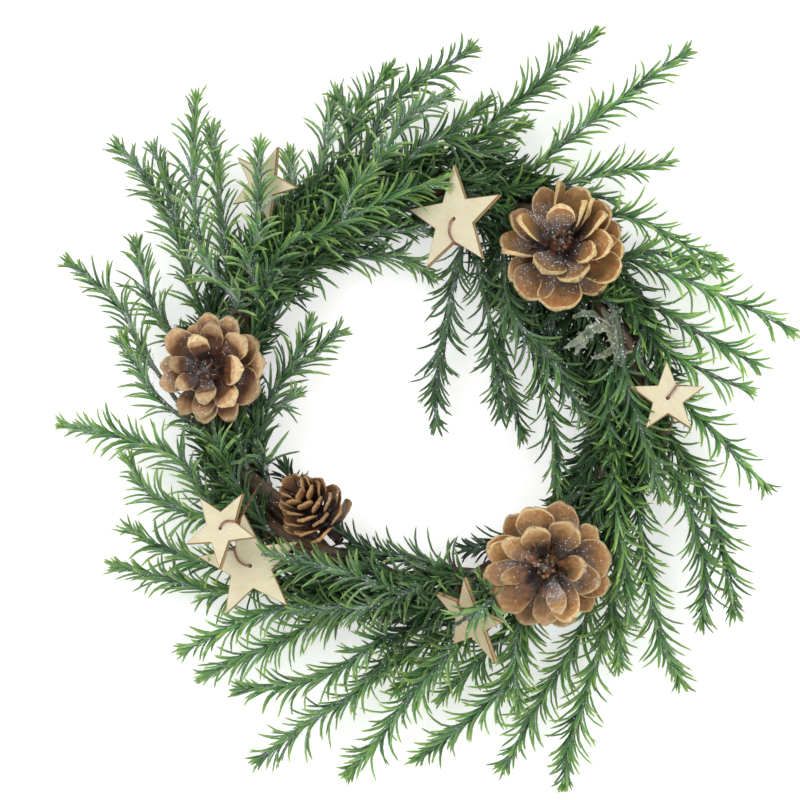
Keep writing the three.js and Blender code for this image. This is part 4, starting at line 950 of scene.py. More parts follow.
def scaleGrid(cone, length, width, rng):
    # one woody scale along x, across y and with its upper face towards z
    sideShare, depth, paleShare = scaleSection.T
    isTop, isUnder = depth == 0, depth == -1
    closing = np.sin(np.radians(np.linspace(0, 80, 8)))
    rows = np.linspace(0, 0.7, coneScale["rows"] - 8, endpoint=False)
    u = np.concatenate([rows, 0.7 + 0.3 * closing, [1]])[:, None]
    closing = np.clip((u - 0.7) / 0.3, 0, 1)
    half = 0.5 * width * (0.26 + 0.74 * smoothstep(u, -0.05, 0.72)) * np.maximum(
        (1 - closing ** 2.6) ** (1 / 2.2), 0.24)
    half = half * (1 + 0.05 * np.sin(9 * u + rng.uniform(0, 6)))
    slight = min(1.0, width / 10)
    thick = 1.25 - 0.4 * smoothstep(u, 0, 0.35)
    thick = thick + (cone["thick"] - 0.85) * smoothstep(u, 0.55, 0.9)
    thick = thick * (0.55 + 0.45 * slight)
    y = half * sideShare
    y = y * (1 + 0.08 * rng.normal() * np.sign(y))
    across = y / (0.5 * width)
    rise = 0.07 * length * smoothstep(u, 0.5, 1) - 0.03 * length * np.sin(np.pi * u)
    cup = coneScale["cup"] * width * u * across ** 2
    knob = cone["knob"] * slight * smoothstep(u, 0.58, 0.8) * np.clip(1 - across ** 2, 0, 1)
    hollow = 0.35 * slight * np.exp(-((np.abs(across) - 0.3) / 0.16) ** 2) * (
        smoothstep(u, 0.15, 0.3) * (1 - smoothstep(u, 0.5, 0.66)))
    ridges = 0.1 * slight * np.sin(11 * across + rng.uniform(0, 6) + 2 * u)
    ridges = ridges + 0.12 * slight * (
        np.sin(8 * u + rng.uniform(0, 6)) * np.sin(3 * across + rng.uniform(0, 6)))
    keel = 0.35 * thick * np.exp(-(across / 0.3) ** 2) * isUnder
    z = rise + cup + thick * depth - keel + (knob - hollow + ridges) * isTop
    lip = paleShare * smoothstep(u, 0.35, 0.7)
    x = u * length - 0.04 * length * u * np.abs(across) ** 2
    x = x + 0.012 * length * u * np.sin(7 * across + rng.uniform(0, 6))
    # the edge slants, so that its pale lip shows from above
    x = x - cone["slant"] * slight * smoothstep(u, 0.7, 1) * (1 + depth)
    # the last row is the rim of the end face, just under the upper face
    lip[-1] = 1
    z[-1] = z[-1] - 0.14 * thick[-1] * isTop
    x[-1] = x[-1] + 0.1
    rough = rng.normal(0, 0.09, y.shape) * (lip > 0.6) + rng.normal(0, 0.035, y.shape)
    return np.stack([np.minimum(x, length), y + rough, z + rough], -1), u[:, 0], lip


def coneMaterial(name, cone):
    # near black and glossy by the core, partly the wood's own colour and partly painted shade in
    # the hollows between the scales, browner outwards, with a pale rough lip
    material, tree, skin = newMaterial(f"{name}_wood", {"Coat Roughness": 0.25})
    middle, lipTone = np.array(cone["middle"]), np.array(cone["lip"])
    resinColour = colour(*cone["resin"])
    fibres = fibresOf(tree, middle * 0.72, np.minimum(middle * 1.22, 250), 0.9, 0.55)
    place = tree.place()
    wander = tree.times(tree.math("SUBTRACT", tree.noise(place, 170, 3, 0.6), 0.5), 0.32)
    along = tree.math("ADD", tree.attribute("along"), wander)
    low, high, paleLow, paleHigh = cone["bands"]
    # the near-black base colour is partly painted shade in the hollows between the scales
    body = tree.mix(tree.mapRange(along, low, high), colour(*cone["base"]), fibres["Color"])
    body = tree.mix(tree.mapRange(along, paleLow, paleHigh, 0, 0.85), body, colour(*cone["outer"]))
    # streaks of resin along the scales, and small dark and light blotches
    resin = tree.times(fibres["Height"], tree.noise(place, 110, 3, 0.7))
    body = tree.mix(tree.mapRange(resin, 0.24, 0.38, 0, 0.6), body, resinColour)
    blotches = tree.mapRange(tree.noise(place, 420, 5, 0.75), 0.32, 0.68, 0.66, 1.32)
    body = tree.tint(body, blotches)
    lipNoise = tree.noise(place, 700, 4, 0.7)
    lipColour = tree.mix(tree.mapRange(lipNoise, 0.3, 0.7), colour(*(lipTone * 0.8)),
                         colour(*np.minimum(lipTone * 1.06, 255)))
    ragged = tree.times(tree.math("SUBTRACT", lipNoise, 0.5), 0.5)
    lip = tree.mapRange(tree.math("ADD", tree.attribute("lip"), ragged), 0.3, 0.6)
    # a reddish line of resin runs along the inside of the lip
    edge = tree.times(tree.mapRange(lip, 0.02, 0.3), tree.mapRange(lip, 0.6, 0.3))
    body = tree.mix(tree.times(edge, 0.8), body, resinColour)
    tone = tree.mix(tree.attribute("tone"), (0.74, 0.7, 0.66, 1), (1.3, 1.27, 1.24, 1))
    base = tree.tint(tree.mix(lip, body, lipColour), tone)
    frost = tree.attribute("frost")
    frostOver(tree, skin, base, tree.times(frost, cone["frost"]),
              tree.times(frost, cone["glitter"]), (206, 192, 186),
              tree.mapRange(lip, 0, 1, 0.36, 0.8))
    tree.set(skin.inputs["Coat Weight"], tree.mapRange(lip, 0, 1, 0.45, 0.0))
    height = tree.math("ADD", fibres["Height"], tree.times(lipNoise, lip))
    tree.bump(skin, height, 0.85, 0.0006)
    return material


def placeScale(shape, cone, scale, start, rng, index, paleness=1.0):
    turn, lift, width, roll, attach, length = scale
    grid, u, lip = scaleGrid(cone, length, width, rng)
    outwards = heading(turn) * cosd(lift) + [0, 0, sind(lift)]
    level = heading(turn + 90)
    across = level * cosd(roll) + np.cross(outwards, level) * sind(roll)
    axes = np.array([outwards, across, np.cross(outwards, across)])
    local = heading(turn) * start + [0, 0, attach] + grid @ axes
    rows, around = grid.shape[:2]
    basis, foot = coneFrame(cone)
    grain = grid * [0.16, 1.3, 1] + [index * 3, 0, 0]
    # a few scales carry most of the frost, and the low ones lie in the shade of those above
    frost = 0.25 + 0.75 * smoothstep(u, 0.1, 0.4) * (1 - smoothstep(u, 0.55, 0.9))
    frost = frost * rng.beta(0.5, 0.7) * 1.5
    shade = (0.84 + 0.16 * min(1, lift / 26)) * (0.4 + 0.6 * paleness)
    shape.add(local @ basis + foot, loftFaces(rows, around), grain=grain.reshape(-1, 3),
              along=np.repeat(u * shade, around), lip=lip.ravel() * paleness,
              tone=rng.random(), frost=np.repeat(frost, around))


def makeConePiece(name, cone):
    rng = np.random.default_rng(cone["seed"])
    basis, foot = coneFrame(cone)
    shape = Shape("grain", "along", "lip", "tone", "frost")
    stalk, slim, height = cone.get("stalk", 0), cone.get("slim", 1), cone["height"]
    profile = np.array([[0.4, -stalk], [2.6, -stalk + 0.3], [3.0, -stalk * 0.5 + 0.6], [3.4, 4],
                        [6.2, 7], [5.8, height * 0.5], [2.6, height * 0.74], [0.5, height * 0.8]])
    line = np.column_stack([profile * 0, profile[:, 1]])
    fine = evenSteps(line, 0.8)
    sides = coneScale["coreSides"]
    reach = np.interp(fine[:, 2], line[:, 2], profile[:, 0] * slim)
    radii = reach[:, None] * (1 + rng.normal(0, 0.07, (len(fine), sides)))
    core = tubePoints(fine, radii, sides).reshape(-1, 3)
    shape.add(core @ basis + foot, loftFaces(len(fine), sides), grain=core * 0.5, along=0.1,
              frost=0.35, tone=0.1)
    for i, scale in enumerate(coneScales(cone, rng)):
        placeScale(shape, cone, scale, 1.5, rng, i)
    for i in range(coneScale["stubs"]):
        # broken stubs of the smallest scales at the top
        stub = (i * goldenAngle + 20, rng.uniform(40, 80), rng.uniform(1.4, 2.6),
                rng.uniform(-40, 40), height * rng.uniform(0.62, 0.72), rng.uniform(4, 7) * slim)
        placeScale(shape, cone, stub, 0.8, rng, 40 + i, 0.2)
    shape.build(f"{name}_scales", [coneMaterial(name, cone)], name)
    return np.vstack(shape.points)


conePoints = {name: makeConePiece(name, cone) for name, cone in cones.items()}
print("wreath: cones made")

# Lichen tuft: pointed, forked blades with frost on them

lichen = {
    "raise": -2.7, "flatten": 0.42, "step": 0.6, "sides": 14, "hint": (0.8, -0.6, 0.0),
    "lobes": [
        ([(80, 48, 22), (83, 42, 23.5), (85, 36, 24.5), (86.5, 30, 24.5), (86, 23.5, 26)],
         [0.9, 2.4, 3, 2.4, 0.5]),
        ([(83, 41, 24), (86, 44.5, 26), (89.5, 47.5, 28)], [2, 1.4, 0.5]),
        ([(86, 30, 24.5), (89.5, 27, 26), (94, 27.5, 27.5)], [2.2, 1.5, 0.5]),
        ([(85, 37, 25), (79, 38.5, 27), (74.5, 37, 27.5), (71, 32, 27), (67.5, 26, 25.5)],
         [2.4, 2.6, 2.8, 2.4, 0.5]),
        ([(74, 36, 27.5), (68, 32, 28), (62.5, 29, 27.5)], [2.2, 1.8, 0.5]),
        ([(84, 39, 25), (77, 44, 26.5), (72, 45, 27), (66.5, 43.5, 26.5)], [2, 1.6, 1.8, 0.5]),
        ([(86, 29, 24.5), (81, 26, 25), (75.5, 24.5, 24.5)], [1.8, 1.7, 0.5]),
    ],
}


def lichenMaterial():
    material, tree, skin = newMaterial("lichenBlades")
    place = tree.place()
    patches = tree.mapRange(tree.noise(place, 260, 5, 0.7), 0.4, 0.6)
    base = tree.mix(patches, colour(58, 78, 46), colour(146, 154, 120))
    yellow = tree.mapRange(tree.noise(place, 60, 2, 0.5), 0.52, 0.64)
    base = tree.mix(tree.times(yellow, 0.6), base, colour(140, 132, 66))
    base = tree.tint(base, tree.mapRange(tree.noise(place, 850, 3, 0.6), 0.44, 0.62, 1.25, 0.5))
    base = tree.mix(tree.times(tree.attribute("rim"), 0.6), base, colour(186, 196, 172))
    frostOver(tree, skin, base, 0.22, 0.07, (216, 222, 218), 0.75)
    tree.bump(skin, tree.noise(place, 900, 4, 0.7), 0.6, 0.0004)
    return material


def addBlade(shape, line, half, rng, flatten):
    # a flat blade with a jagged outline and a curled rim
    turn = roundTurn(lichen["sides"])
    along, side, up = framesAlong(line, np.array(lichen["hint"]))
    share = np.linspace(0, 1, len(line))
    jag = 0.22 * np.sin(share * 37 + rng.uniform(0, 6))
    jag = 1 + jag * np.sin(share * 11 + rng.uniform(0, 6))
    left = half * jag * (1 + rng.normal(0, 0.07, len(line)))
    right = half * (2 - jag) * (1 + rng.normal(0, 0.07, len(line)))
    wide = np.where(np.cos(turn) > 0, left[:, None], right[:, None]) * np.cos(turn)
    thin = half[:, None] * flatten * np.sin(turn) * (0.75 + 0.25 * np.abs(np.sin(turn)))
    curl = 0.26 * wide ** 2 / np.maximum(half, 0.6)[:, None]
    thin = thin * (1 + 0.4 * np.sin(share * 52)[:, None] * np.cos(3 * turn))
    points = line[:, None] + wide[..., None] * side[:, None]
    points = points + (thin + curl)[..., None] * up[:, None]
    rim = np.broadcast_to(np.abs(np.cos(turn)) ** 3, thin.shape)
    shape.add(points, loftFaces(len(line), len(turn)), rim=rim.ravel())
    return along, side, up


def makeLichen(material):
    rng = np.random.default_rng(77)
    shape = Shape("rim")
    for points, radii in lichen["lobes"]:
        points = np.array(points, float) + [0, 0, lichen["raise"]]
        line = smoothLine(points, lichen["step"])
        places = lengthsAlong(points)
        half = np.interp(np.linspace(0, places[-1], len(line)), places, radii) * 0.95
        along, side, up = addBlade(shape, line, half, rng, lichen["flatten"])
        for i in range(4, len(line) - 4, 5):
            # small pointed side blades
            away = side[i] * (1 if (i // 5) % 2 else -1)
            reach = half[i] + rng.uniform(0.8, 2.0)
            tip = line[i] + away * reach + along[i] * rng.uniform(0.5, 2.2) + up[i] * rng.uniform(
                -0.2, 0.9)
            small = smoothLine([line[i], (line[i] + tip) / 2 + along[i] * 0.3, tip], 0.5)
            thin = np.linspace(min(half[i] * 0.55, 1.0), 0.16, len(small))
            addBlade(shape, small, thin, rng, 0.5)
    shape.build("lichen_blades", [material], "lichen_tuft")
    return np.vstack(shape.points)[::lichen["sides"]]


lichenPoints = makeLichen(lichenMaterial())
print("wreath: lichen made")

# Needles of the sprays

needle = {
    "length": 20, "atTip": 0.56, "width": 1.9, "lift": 0.2, "thickness": 0.62, "whorl": 5,
    "tuft": 10, "spacing": 4.6, "sizes": (0.72, 1.14), "tipZone": 26,
    "bareTrunk": 3, "bareSide": 1.5, "bareTwig": 1.0,
    # angle at the root, angle near the tip and spread, in degrees
    "leave": (14, 9, 7), "bend": (60, 38, 13), "curl": 0.11, "twist": 40,
    "rows": (0, 0.12, 0.3, 0.52, 0.74, 0.9, 1),
    "widths": (0.8, 0.96, 1, 0.95, 0.78, 0.52, 0.14),
}
glitter = {"perLength": 5, "size": 0.32, "bareRoot": 8, "away": (0.9, 3.0), "stretch": 1.6,
           "least": 0.002}
# the sprigs' brightness factor is low: painted shade deep in the ring
sprig = {"steps": (0, 4, 9, 15, 21), "away": (12.9, 13.2, 14.2, 15.4, 16.8), "clocks": (12, 172),
         "swing": 22, "shortest": 12, "bright": 0.55}
clearance = {"floor": 0.95, "box": 0.5, "star": 0.45, "cone": -0.2, "wire": 1.1, "cane": 0.1}
# how much of the middle of a star or a cone stays free of needles and of sprigs, seen from above
freeView, freeViewOfSprigs = 0.45, 0.72
# short stems that close the wreath behind the upper cone and under the lower sprays, with their
# share of the spray's painted light and tone, lowered as painted shade where they lie under others
fillers = {
    "low_left_long": (0.9, [
        [(26, -98, 13), (14, -107, 14), (2, -115, 13), (-11, -125, 12)],
        [(16, -97, 9), (3, -105, 9), (-8, -112, 8), (-20, -120, 8)]]),
    "left_bottom": (0.8, [[(-50, -82, 10), (-57, -80, 9), (-66, -78, 8), (-77, -74, 8)]]),
    "low_front": (0.6, [[(24, -90, 9), (6, -93, 9), (-14, -92, 8), (-34, -88, 8)]]),
    "low_left": (0.6, [[(-30, -84, 9), (-44, -84, 8), (-58, -82, 8), (-70, -80, 7)]]),
    "low_mid": (0.9, [[(38, -98, 11), (29, -108, 12), (20, -119, 11), (9, -129, 10)]]),
    "top_short": (0.45, [
        [(42, 86, 20), (34, 78, 18), (29, 68, 16), (30, 56, 15)],
        [(50, 78, 20), (43, 69, 18), (39, 58, 16), (40, 45, 15)],
        [(58, 74, 12), (50, 64, 9), (44, 54, 7), (44, 42, 7)],
        [(64, 56, 8), (59, 47, 6), (56, 37, 5), (58, 24, 5)]]),
    "inner_top_drop": (0.55, [
        [(60, 66, 18), (52, 56, 17), (48, 44, 16), (50, 32, 15)],
        [(66, 60, 16), (60, 50, 14), (56, 38, 13), (58, 25, 13)],
        [(68, 64, 9), (58, 54, 7), (51, 42, 6), (53, 28, 6)]]),
    "inner_right_drop": (0.55, [
        [(74, 54, 15), (66, 44, 13), (63, 33, 12), (66, 20, 12)],
        [(78, 46, 14), (72, 36, 12), (69, 24, 12), (72, 12, 12)],
        [(76, 50, 8), (68, 40, 6), (65, 28, 5), (69, 14, 5)],
        [(82, 42, 7), (75, 30, 5), (73, 18, 5), (76, 4, 5)],
        [(87, 46, 8), (81, 36, 6), (78, 26, 5), (77, 14, 5)]]),
}


def swung(swing, radial, around):
    # directions out from a stem and across, swung round it
    cos, sin = cosd(swing)[:, None], sind(swing)[:, None]
    return radial * cos + around * sin, around * cos - radial * sin


def growNeedles(swing, size, leave, bend, curl, twist, roots, along, radial, around):
    # middle lines and points of bent needles: left rim, groove, right rim and keel of each row
    rows = np.array(needle["rows"])
    outwards, across = swung(swing, radial, around)
    angle = leave[:, None] + (bend - leave)[:, None] * smoothstep(rows, 0.0, 0.95)
    midAngle = (angle[:, 1:] + angle[:, :-1]) / 2
    step = np.diff(rows)[None] * size[:, None]
    forwards, away = (np.pad(np.cumsum(part * step, axis=1), ((0, 0), (1, 0)))[..., None]
                      for part in (cosd(midAngle), sind(midAngle)))
    sideways = (curl[:, None] * size[:, None] * rows ** 2)[..., None]
    line = (roots[:, None] + forwards * along[:, None] + away * outwards[:, None]
            + sideways * across[:, None])
    ahead = unit(np.gradient(line, axis=1))
    faceUp = -sind(angle)[..., None] * along[:, None]
    faceUp = faceUp + cosd(angle)[..., None] * outwards[:, None]
    flat = unit(np.cross(faceUp, ahead))
    faceUp = np.cross(ahead, flat)
    turned = twist[:, None, None] * rows[None, :, None] ** 0.5
    flat, faceUp = (flat * cosd(turned) + faceUp * sind(turned),
                    faceUp * cosd(turned) - flat * sind(turned))
    slimmer = (0.7 + 0.3 * size / needle["length"])[:, None]
    width = needle["width"] * np.array(needle["widths"])[None] * slimmer
    y = width[..., None] * np.array([-0.5, 0, 0.5, 0])
    z = np.array([needle["lift"], 0, needle["lift"], -needle["thickness"]]) * np.minimum(
        1, width / 1.2)[..., None]
    points = line[:, :, None] + y[..., None] * flat[:, :, None]
    points = points - z[..., None] * faceUp[:, :, None]
    return line, points


def manyFaces(faces, count, corners):
    # the same faces for each of many alike solids
    shift = (np.arange(count) * corners)[:, None, None]
    return [(group[None] + shift).reshape(-1, group.shape[1]) for group in faces]


def insideStar(points, star, margin):
    basis, at = starFrame(star)
    local = (points - at) @ basis.T
    near = np.abs(local[..., 2]) < starShape["thickness"] / 2 + margin
    corners = starCorners(star["reach"] + margin * 1.5, -margin * 0.4)
    x, y = local[..., 0], local[..., 1]
    inside = np.zeros(x.shape, bool)
    for a, b in zip(corners, np.roll(corners, -1, axis=0)):
        crosses = (a[1] > y) != (b[1] > y)
        inside ^= crosses & (x < a[0] + (y - a[1]) / (b[1] - a[1] + 1e-9) * (b[0] - a[0]))
    return near & inside


def coneProfile(name, cone):
    # the widest that a cone gets at each height
    basis, foot = coneFrame(cone)
    local = (conePoints[name] - foot) @ basis.T
    heights = np.arange(-12, 60, 2.0)
    reach = np.hypot(local[:, 0], local[:, 1])
    widest = [reach[np.abs(local[:, 2] - height) < 2.5].max(initial=0) for height in heights]
    return basis, foot, heights, np.array(widest)


def wireLoops():
    # each binding loop as a radius for every clock angle, in its own plane
    found = []
    for angle, loop in zip(bindingWire["places"], bindingLoops):
        offset = loop - besideRing(angle, 0, 0)
        x, z = offset @ heading(angle), offset[:, 2]
        clock = np.degrees(np.arctan2(z, x))
        order = np.argsort(clock)
        found.append((angle, clock[order], np.hypot(x, z)[order]))
    return found


coneProfiles = [coneProfile(name, cone) for name, cone in cones.items()]
loopProfiles = wireLoops()
boxLow = np.array(cadBox[0]) / mm
boxHigh = np.array(cadBox[1]) / mm


def blocked(points):
    # whether a point lies in a star, a cone, a cane, a wire, the floor or outside the part's box
    found = (points[..., 2] < clearance["floor"]) | np.any(
        (points < boxLow + clearance["box"]) | (points > boxHigh - clearance["box"]), axis=-1)
    for star in stars.values():
        found |= insideStar(points, star, clearance["star"])
    for basis, foot, heights, widest in coneProfiles:
        local = (points - foot) @ basis.T
        reach = np.interp(local[..., 2], heights, widest, left=0, right=0) + clearance["cone"]
        found |= np.hypot(local[..., 0], local[..., 1]) < reach
    for place, clocks, radii in loopProfiles:
        offset = points - besideRing(place, 0, 0)
        x, z = offset @ heading(place), offset[..., 2]
        gap = np.hypot(x, z) - np.interp(np.degrees(np.arctan2(z, x)), clocks, radii)
        aside = offset @ heading(place + 90)
        found |= (np.abs(aside) < clearance["wire"]) & (np.abs(gap) < clearance["wire"])
    flat = points[..., :2] - ring["centre"]
    angle = np.degrees(np.arctan2(flat[..., 1], flat[..., 0]))
    out = np.linalg.norm(flat, axis=-1) - ring["radius"]
    up = points[..., 2] - ring["height"]
    for strand in range(3):
        clock = caneClock(angle, strand)
        gap = np.hypot(out - ring["caneOffset"] * cosd(clock),
                       up - ring["caneOffset"] * sind(clock))
        found |= gap < ring["caneRadius"] + clearance["cane"]
    return found


def plasticMaterial():
    # moulded needles: dark in the fold and at the foot, yellow-green along the rims and tips
    material, tree, skin = newMaterial("needlePlastic", {"Specular IOR Level": 0.45})
    place, along, frost = tree.place(), tree.attribute("along"), tree.attribute("frost")
    body = tree.mix(tree.mapRange(along, 0.0, 0.45), colour(38, 80, 54), colour(78, 134, 76))
    # yellow tips and light rims show only where the brightness factor is high, so the needles in
    # painted shade deep in the wreath lose them
    painted_lit = tree.mapRange(tree.attribute("bright"), 0.45, 1.0, 0.15, 1)
    tip = tree.times(tree.mapRange(along, 0.5, 1.0), painted_lit)
    body = tree.mix(tip, body, colour(146, 178, 90))
    rim = tree.times(tree.mapRange(tree.attribute("rim"), 0.45, 1.0, 0, 0.75), painted_lit)
    rimColour = tree.mix(frost, colour(150, 186, 112), colour(196, 212, 198))
    base = tree.mix(tree.times(rim, tree.mapRange(along, 0, 0.4, 0.35, 1)), body, rimColour)
    tone = tree.mix(tree.attribute("tone"), (0.5, 0.58, 0.6, 1), (1.4, 1.34, 1.04, 1))
    mottle = tree.mapRange(tree.noise(place, 400, 3, 0.6), 0.3, 0.7, 0.82, 1.15)
    # tone and mottle vary at random; the brightness factor paints shade on the needles deep in the
    # wreath and light on the lit ones
    for layer in (tone, tree.attribute("bright"), mottle):
        base = tree.tint(base, layer)
    frostOver(tree, skin, base, tree.times(frost, 0.9), tree.times(frost, 0.16),
              (182, 200, 188), 0.44)
    tree.bump(skin, tree.noise(place, 1500, 2, 0.5), 0.25, 0.0001)
    return material


def stemMaterial():
    material, tree, skin = newMaterial("stemPlastic")
    place = tree.place()
    base = tree.mix(tree.noise(place, 260, 3, 0.6), colour(44, 56, 42), colour(78, 100, 64))
    frostOver(tree, skin, base, tree.attribute("frost"), 0.12, (168, 184, 176), 0.5)
    tree.bump(skin, tree.noise(place, 700, 3, 0.6), 0.5, 0.0003)
    return material


def glitterMaterial():
    # silver flecks, some of them brighter
    material, tree, skin = newMaterial("silverGlitter", {"Metallic": 0.6})
    place = tree.place()
    tint = tree.mix(tree.noise(place, 500, 2, 0.5), colour(176, 196, 206), colour(240, 244, 248))
    tree.set(skin.inputs["Base Color"], tint)
    shine = tree.mapRange(tree.noise(place, 800, 2), 0.3, 0.7, 0.2, 0.5)
    tree.set(skin.inputs["Roughness"], shine)
    return material


def alongStem(line, places):
    # where the places are on the line, with the directions along and across it there
    lengths = lengthsAlong(line)
    found = [unit(sample(frame, lengths, places)) for frame in framesAlong(line)]
    return sample(line, lengths, places), *found


def overOther(points, share):
    # whether a point hides the inner part of a star or a cone from above
    found = np.zeros(points.shape[:-1], bool)
    for star in stars.values():
        basis, at = starFrame(star)
        local = (points - at) @ basis.T
        away = np.hypot(local[..., 0], local[..., 1])
        reach = 0 if "covered" in star else star["reach"] * share
        found |= (away < reach) & (local[..., 2] > 0)
    for near in conePoints.values():
        low, high = near.min(axis=0), near.max(axis=0)
        away = 2 * (points - (low + high) / 2) / (high - low)
        found |= (np.hypot(away[..., 0], away[..., 1]) < share + 0.3) & (away[..., 2] > -0.4)
    near = (np.abs(points[..., 0] - 78) < 22) & (np.abs(points[..., 1] - 36) < 22)
    away = points[near][:, None] - lichenPoints[None]
    hides = np.hypot(away[..., 0], away[..., 1]) < 2.4
    found[near] |= np.any(hides & (away[..., 2] > -2), axis=1)
    return found


def inTheWay(points):
    return blocked(points) | overOther(points, freeView)


def inTheWayOfSprigs(points):
    return blocked(points) | overOther(points, freeViewOfSprigs)


def fitNeedles(taken, *grown):
    # a needle that would run into something is turned or shortened, or else left out
    line, points = growNeedles(*grown)
    bad = np.any(taken(line[:, 1:]), axis=1)
    for turned, scale in ((24, 1), (-24, 1), (50, 0.95), (-50, 0.95), (0, 0.75), (85, 0.9),
                          (-85, 0.9), (0, 0.55)):
        if not bad.any():
            break
        some = np.where(bad)[0]
        swing, size, *rest = (value[some] for value in grown)
        newLine, newPoints = growNeedles(swing + turned, size * scale, *rest)
        free = ~np.any(taken(newLine[:, 1:]), axis=1)
        points[some[free]] = newPoints[free]
        bad[some[free]] = False
    return points, ~bad


def growOnStem(line, bare, rng, taken):
    # whorls of needles up the stem, and a tuft that closes its tip
    total = lengthsAlong(line)[-1]
    whorls = np.arange(bare, total - 1.5, needle["spacing"])
    whorls = whorls + rng.normal(0, 0.35, len(whorls))
    inWhorl, tuft = needle["whorl"], needle["tuft"]
    places = np.repeat(whorls, inWhorl) + rng.uniform(-1.7, 1.7, len(whorls) * inWhorl)
    places = np.concatenate([places, total - 0.6 - rng.uniform(0, 2.5, tuft)])
    places = np.clip(places, 0, total - 0.1)
    swing = (np.repeat(np.arange(len(whorls)) * 37.0, inWhorl)
             + np.tile(np.arange(inWhorl) * 360 / inWhorl, len(whorls)))
    swing = np.concatenate([swing, np.arange(tuft) * 360 / tuft * 2])
    count = len(places)
    swing = swing + rng.normal(0, 14, count)
    toTip = smoothstep(places, total - needle["tipZone"], total)
    leave, bend = (root + (tip - root) * toTip + rng.normal(0, spread, count)
                   for root, tip, spread in (needle["leave"], needle["bend"]))
    # the last three close the tip
    leave[-3:], bend[-3:] = rng.uniform(2, 10, 3), rng.uniform(8, 24, 3)
    size = needle["length"] * rng.uniform(*needle["sizes"], count)
    size = size * (1 - (1 - needle["atTip"]) * toTip)
    curl, twist = (rng.normal(0, needle[key], count) for key in ("curl", "twist"))
    return fitNeedles(taken, swing, size, leave, bend, curl, twist, *alongStem(line, places))


def addNeedles(shape, points, frosted, bright, rng):
    count, rows, corners = points.shape[:3]
    along = np.broadcast_to(np.array(needle["rows"])[None, :, None], (count, rows, corners))
    rim = np.broadcast_to(np.array([1.0, 0, 1, 0]), (count, rows, corners))
    tone = np.repeat(rng.beta(1.2, 1.2, count), rows * corners)
    # needles low in the wreath and near the ring are darkened: painted shade deep in the wreath
    aside = np.abs(np.linalg.norm(points[..., :2] - ring["centre"], axis=-1) - ring["radius"])
    painted_depth_shade = (1 - smoothstep(points[..., 2], 8, 31)) * (1 - smoothstep(aside, 12, 34))
    frost = (0.2 + 0.8 * (1 - along)) * (frosted * rng.uniform(0.2, 1, count))[:, None, None]
    faces = manyFaces(loftFaces(rows, corners), count, rows * corners)
    shape.add(points, faces, along=along.ravel(), rim=rim.ravel(), tone=tone,
              frost=np.clip(frost, 0, 1).ravel(), bright=(bright * (1 - 0.72 * painted_depth_shade)).ravel())


def addGlitter(shape, line, frosted, rng):
    # tiny four-sided flecks that cling near the stem
    total = lengthsAlong(line)[-1]
    count = int(total * glitter["perLength"] * frosted)
    if count < 1:
        return
    places = rng.uniform(glitter["bareRoot"], total, count)
    at, along, radial, around = alongStem(line, places)
    out, _ = swung(rng.uniform(0, 360, count), radial, around)
    far = rng.uniform(*glitter["away"], count)[:, None]
    middle = at + far * out + 0.55 * far * along
    corners = unit(rng.normal(0, 1, (count, 4, 3))) * glitter["size"]
    longer = np.einsum("ijk,ik->ij", corners, along)[..., None] * along[:, None]
    corners += glitter["stretch"] * longer + middle[:, None]
    volume = np.linalg.det(corners[:, 1:] - corners[:, :1])
    corners[volume > 0] = corners[volume > 0][:, [0, 2, 1, 3]]
    corners = corners[~np.any(blocked(corners), axis=1) & (np.abs(volume) > glitter["least"])]
    faces = np.array([[0, 1, 2], [0, 3, 1], [1, 3, 2], [2, 3, 0]])
    shape.add(corners, manyFaces([faces], len(corners), 4), slot=2)


def sprigLines(rootAngle, count, rng):
    # short sprigs that start beside the spray and wrap the ring, cut where something is in the way
    lines = []
    low, high = sprig["clocks"]
    for k in range(count):
        share = (k + rng.uniform(0, 1)) / count
        swing = rng.uniform(-sprig["swing"], sprig["swing"])
        clock = low + (high - low) * share + np.linspace(0, swing, len(sprig["steps"]))
        angle = rootAngle + rng.uniform(-3, 5) - np.array(sprig["steps"])
        line = smoothLine(besideRing(angle, clock, np.array(sprig["away"])), stemShape["step"])
        hidden = np.where(inTheWayOfSprigs(line))[0]
        line = line[:hidden[0]] if len(hidden) else line
        if (len(line) - 1) * stemShape["step"] >= sprig["shortest"]:
            lines.append(line)
    return lines


def addStem(shape, line, thick, frosted, rng):
    radii = np.linspace(thick, stemShape["tipRadius"], len(line))
    radii = radii[:, None] * (1 + rng.normal(0, 0.06, (len(line), stemShape["sides"])))
    if thick == stemShape["radius"]:
        root = slice(stemShape["rootSteps"] + 1)
        radii[root] = np.minimum(radii[root], stemShape["rootRadius"])
    shape.add(tubePoints(line, radii, stemShape["sides"]),
              loftFaces(len(line), stemShape["sides"]), slot=1, tone=0.5, frost=frosted, bright=1)


def addTwig(shape, line, thick, bare, taken, frosted, bright, rng, fullness=None):
    # a stem and its needles, of which a share is left out where the fullness is given
    addStem(shape, line, thick, frosted, rng)
    points, alive = growOnStem(line, bare, rng, taken)
    if fullness is not None:
        alive &= rng.random(len(alive)) < fullness
    addNeedles(shape, points[alive], frosted, bright, rng)


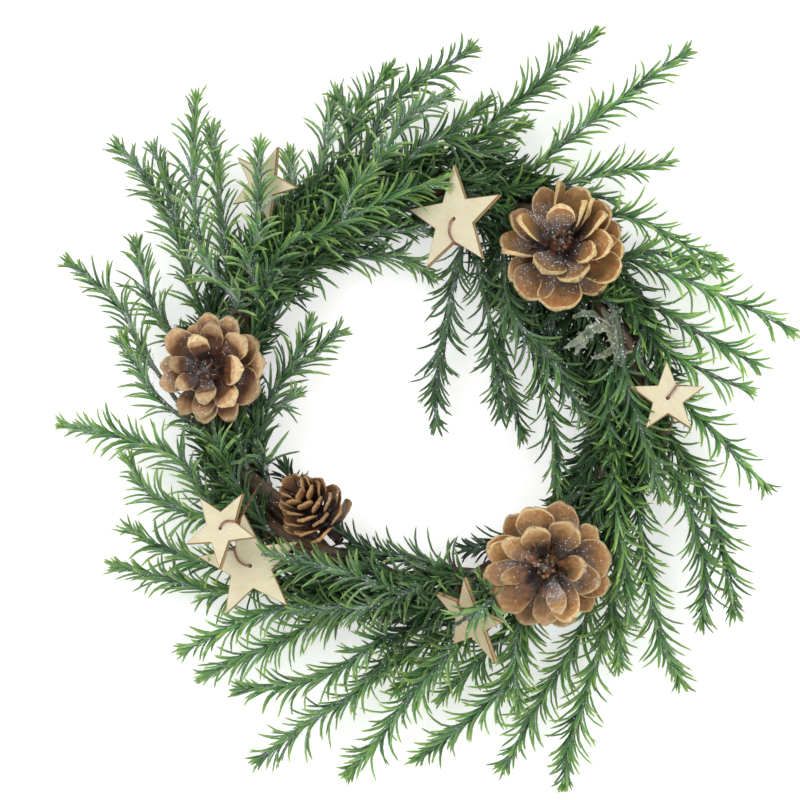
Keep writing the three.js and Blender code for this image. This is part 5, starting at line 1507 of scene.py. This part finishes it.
def makeSpray(i, name, materials):
    (rootAngle, _), frosted, fullness, bright, sprigs, _ = sprays[name]
    rng = np.random.default_rng(200 + i)
    shape = Shape("along", "rim", "tone", "frost", "bright")
    bright *= rng.uniform(0.9, 1.1)
    side = stemShape["sideRadius"]
    for k, line in enumerate(sprayLines[name]):
        thick, bare = (side, needle["bareSide"]) if k else (stemShape["radius"],
                                                            needle["bareTrunk"])
        addTwig(shape, line, thick, bare, inTheWay, frosted, bright, rng, fullness)
        addGlitter(shape, line, frosted, rng)
    for line in sprigLines(rootAngle, sprigs, rng):
        addTwig(shape, line, side, needle["bareTwig"], inTheWayOfSprigs, frosted * 0.5,
                sprig["bright"], rng)
    share, more = fillers.get(name, (1, []))
    for points in more:
        line = smoothLine(points, stemShape["step"])
        addTwig(shape, line, side, needle["bareTwig"], inTheWay, frosted * 0.5, bright * share,
                rng)
        addGlitter(shape, line, frosted, rng)
    piece = shape.build(f"{name}_needles", materials, name, smooth=False)
    return len(piece.data.polygons)


plastics = [plasticMaterial(), stemMaterial(), glitterMaterial()]
faceCount = sum(makeSpray(i, name, plastics) for i, name in enumerate(sprays))
print("wreath: sprays made with", faceCount, "faces")

# Floor, world and lights

floorSize = 12.0
lights = {
    "large_softbox": {"at": (-1.3, 1.5, 2.4), "size": 1.8, "power": 34},
    "side_softbox": {"at": (1.9, 0.3, 2.0), "size": 1.8, "power": 14},
    "low_softbox": {"at": (-0.3, -2.1, 1.8), "size": 1.8, "power": 12},
}
worldStrength = 0.65


def makeFloor():
    mesh = bpy.data.meshes.new("pale_floor")
    half, below = floorSize / 2, -0.0002
    mesh.from_pydata([(-half, -half, below), (half, -half, below), (half, half, below),
                      (-half, half, below)], [], [(0, 1, 2, 3)])
    material, tree, skin = newMaterial("paleFloor", {
        "Roughness": 0.9, "Specular IOR Level": 0.1, "Emission Color": (1, 1, 1, 1),
        "Emission Strength": 0.56})
    tone = tree.mix(tree.noise(tree.place(), 3, 2, 0.5), (0.7, 0.7, 0.7, 1), (0.73, 0.73, 0.73, 1))
    tree.set(skin.inputs["Base Color"], tone)
    mesh.materials.append(material)
    floor = bpy.data.objects.new("pale_floor", mesh)
    scene.collection.objects.link(floor)


def makeLights():
    for name, light in lights.items():
        data = bpy.data.lights.new(name, "AREA")
        data.energy, data.size = light["power"], light["size"]
        lamp = bpy.data.objects.new(name, data)
        lamp.location = light["at"]
        towards = -lamp.location.normalized()
        lamp.rotation_euler = towards.to_track_quat("-Z", "Y").to_euler()
        scene.collection.objects.link(lamp)


world = bpy.data.worlds.new("white_studio")
world.use_nodes = True
background = world.node_tree.nodes["Background"]
background.inputs["Color"].default_value = (1, 1, 1, 1)
background.inputs["Strength"].default_value = worldStrength
scene.world = world
scene.view_settings.view_transform = "Standard"
makeFloor()
makeLights()
print("wreath: floor and lights made")
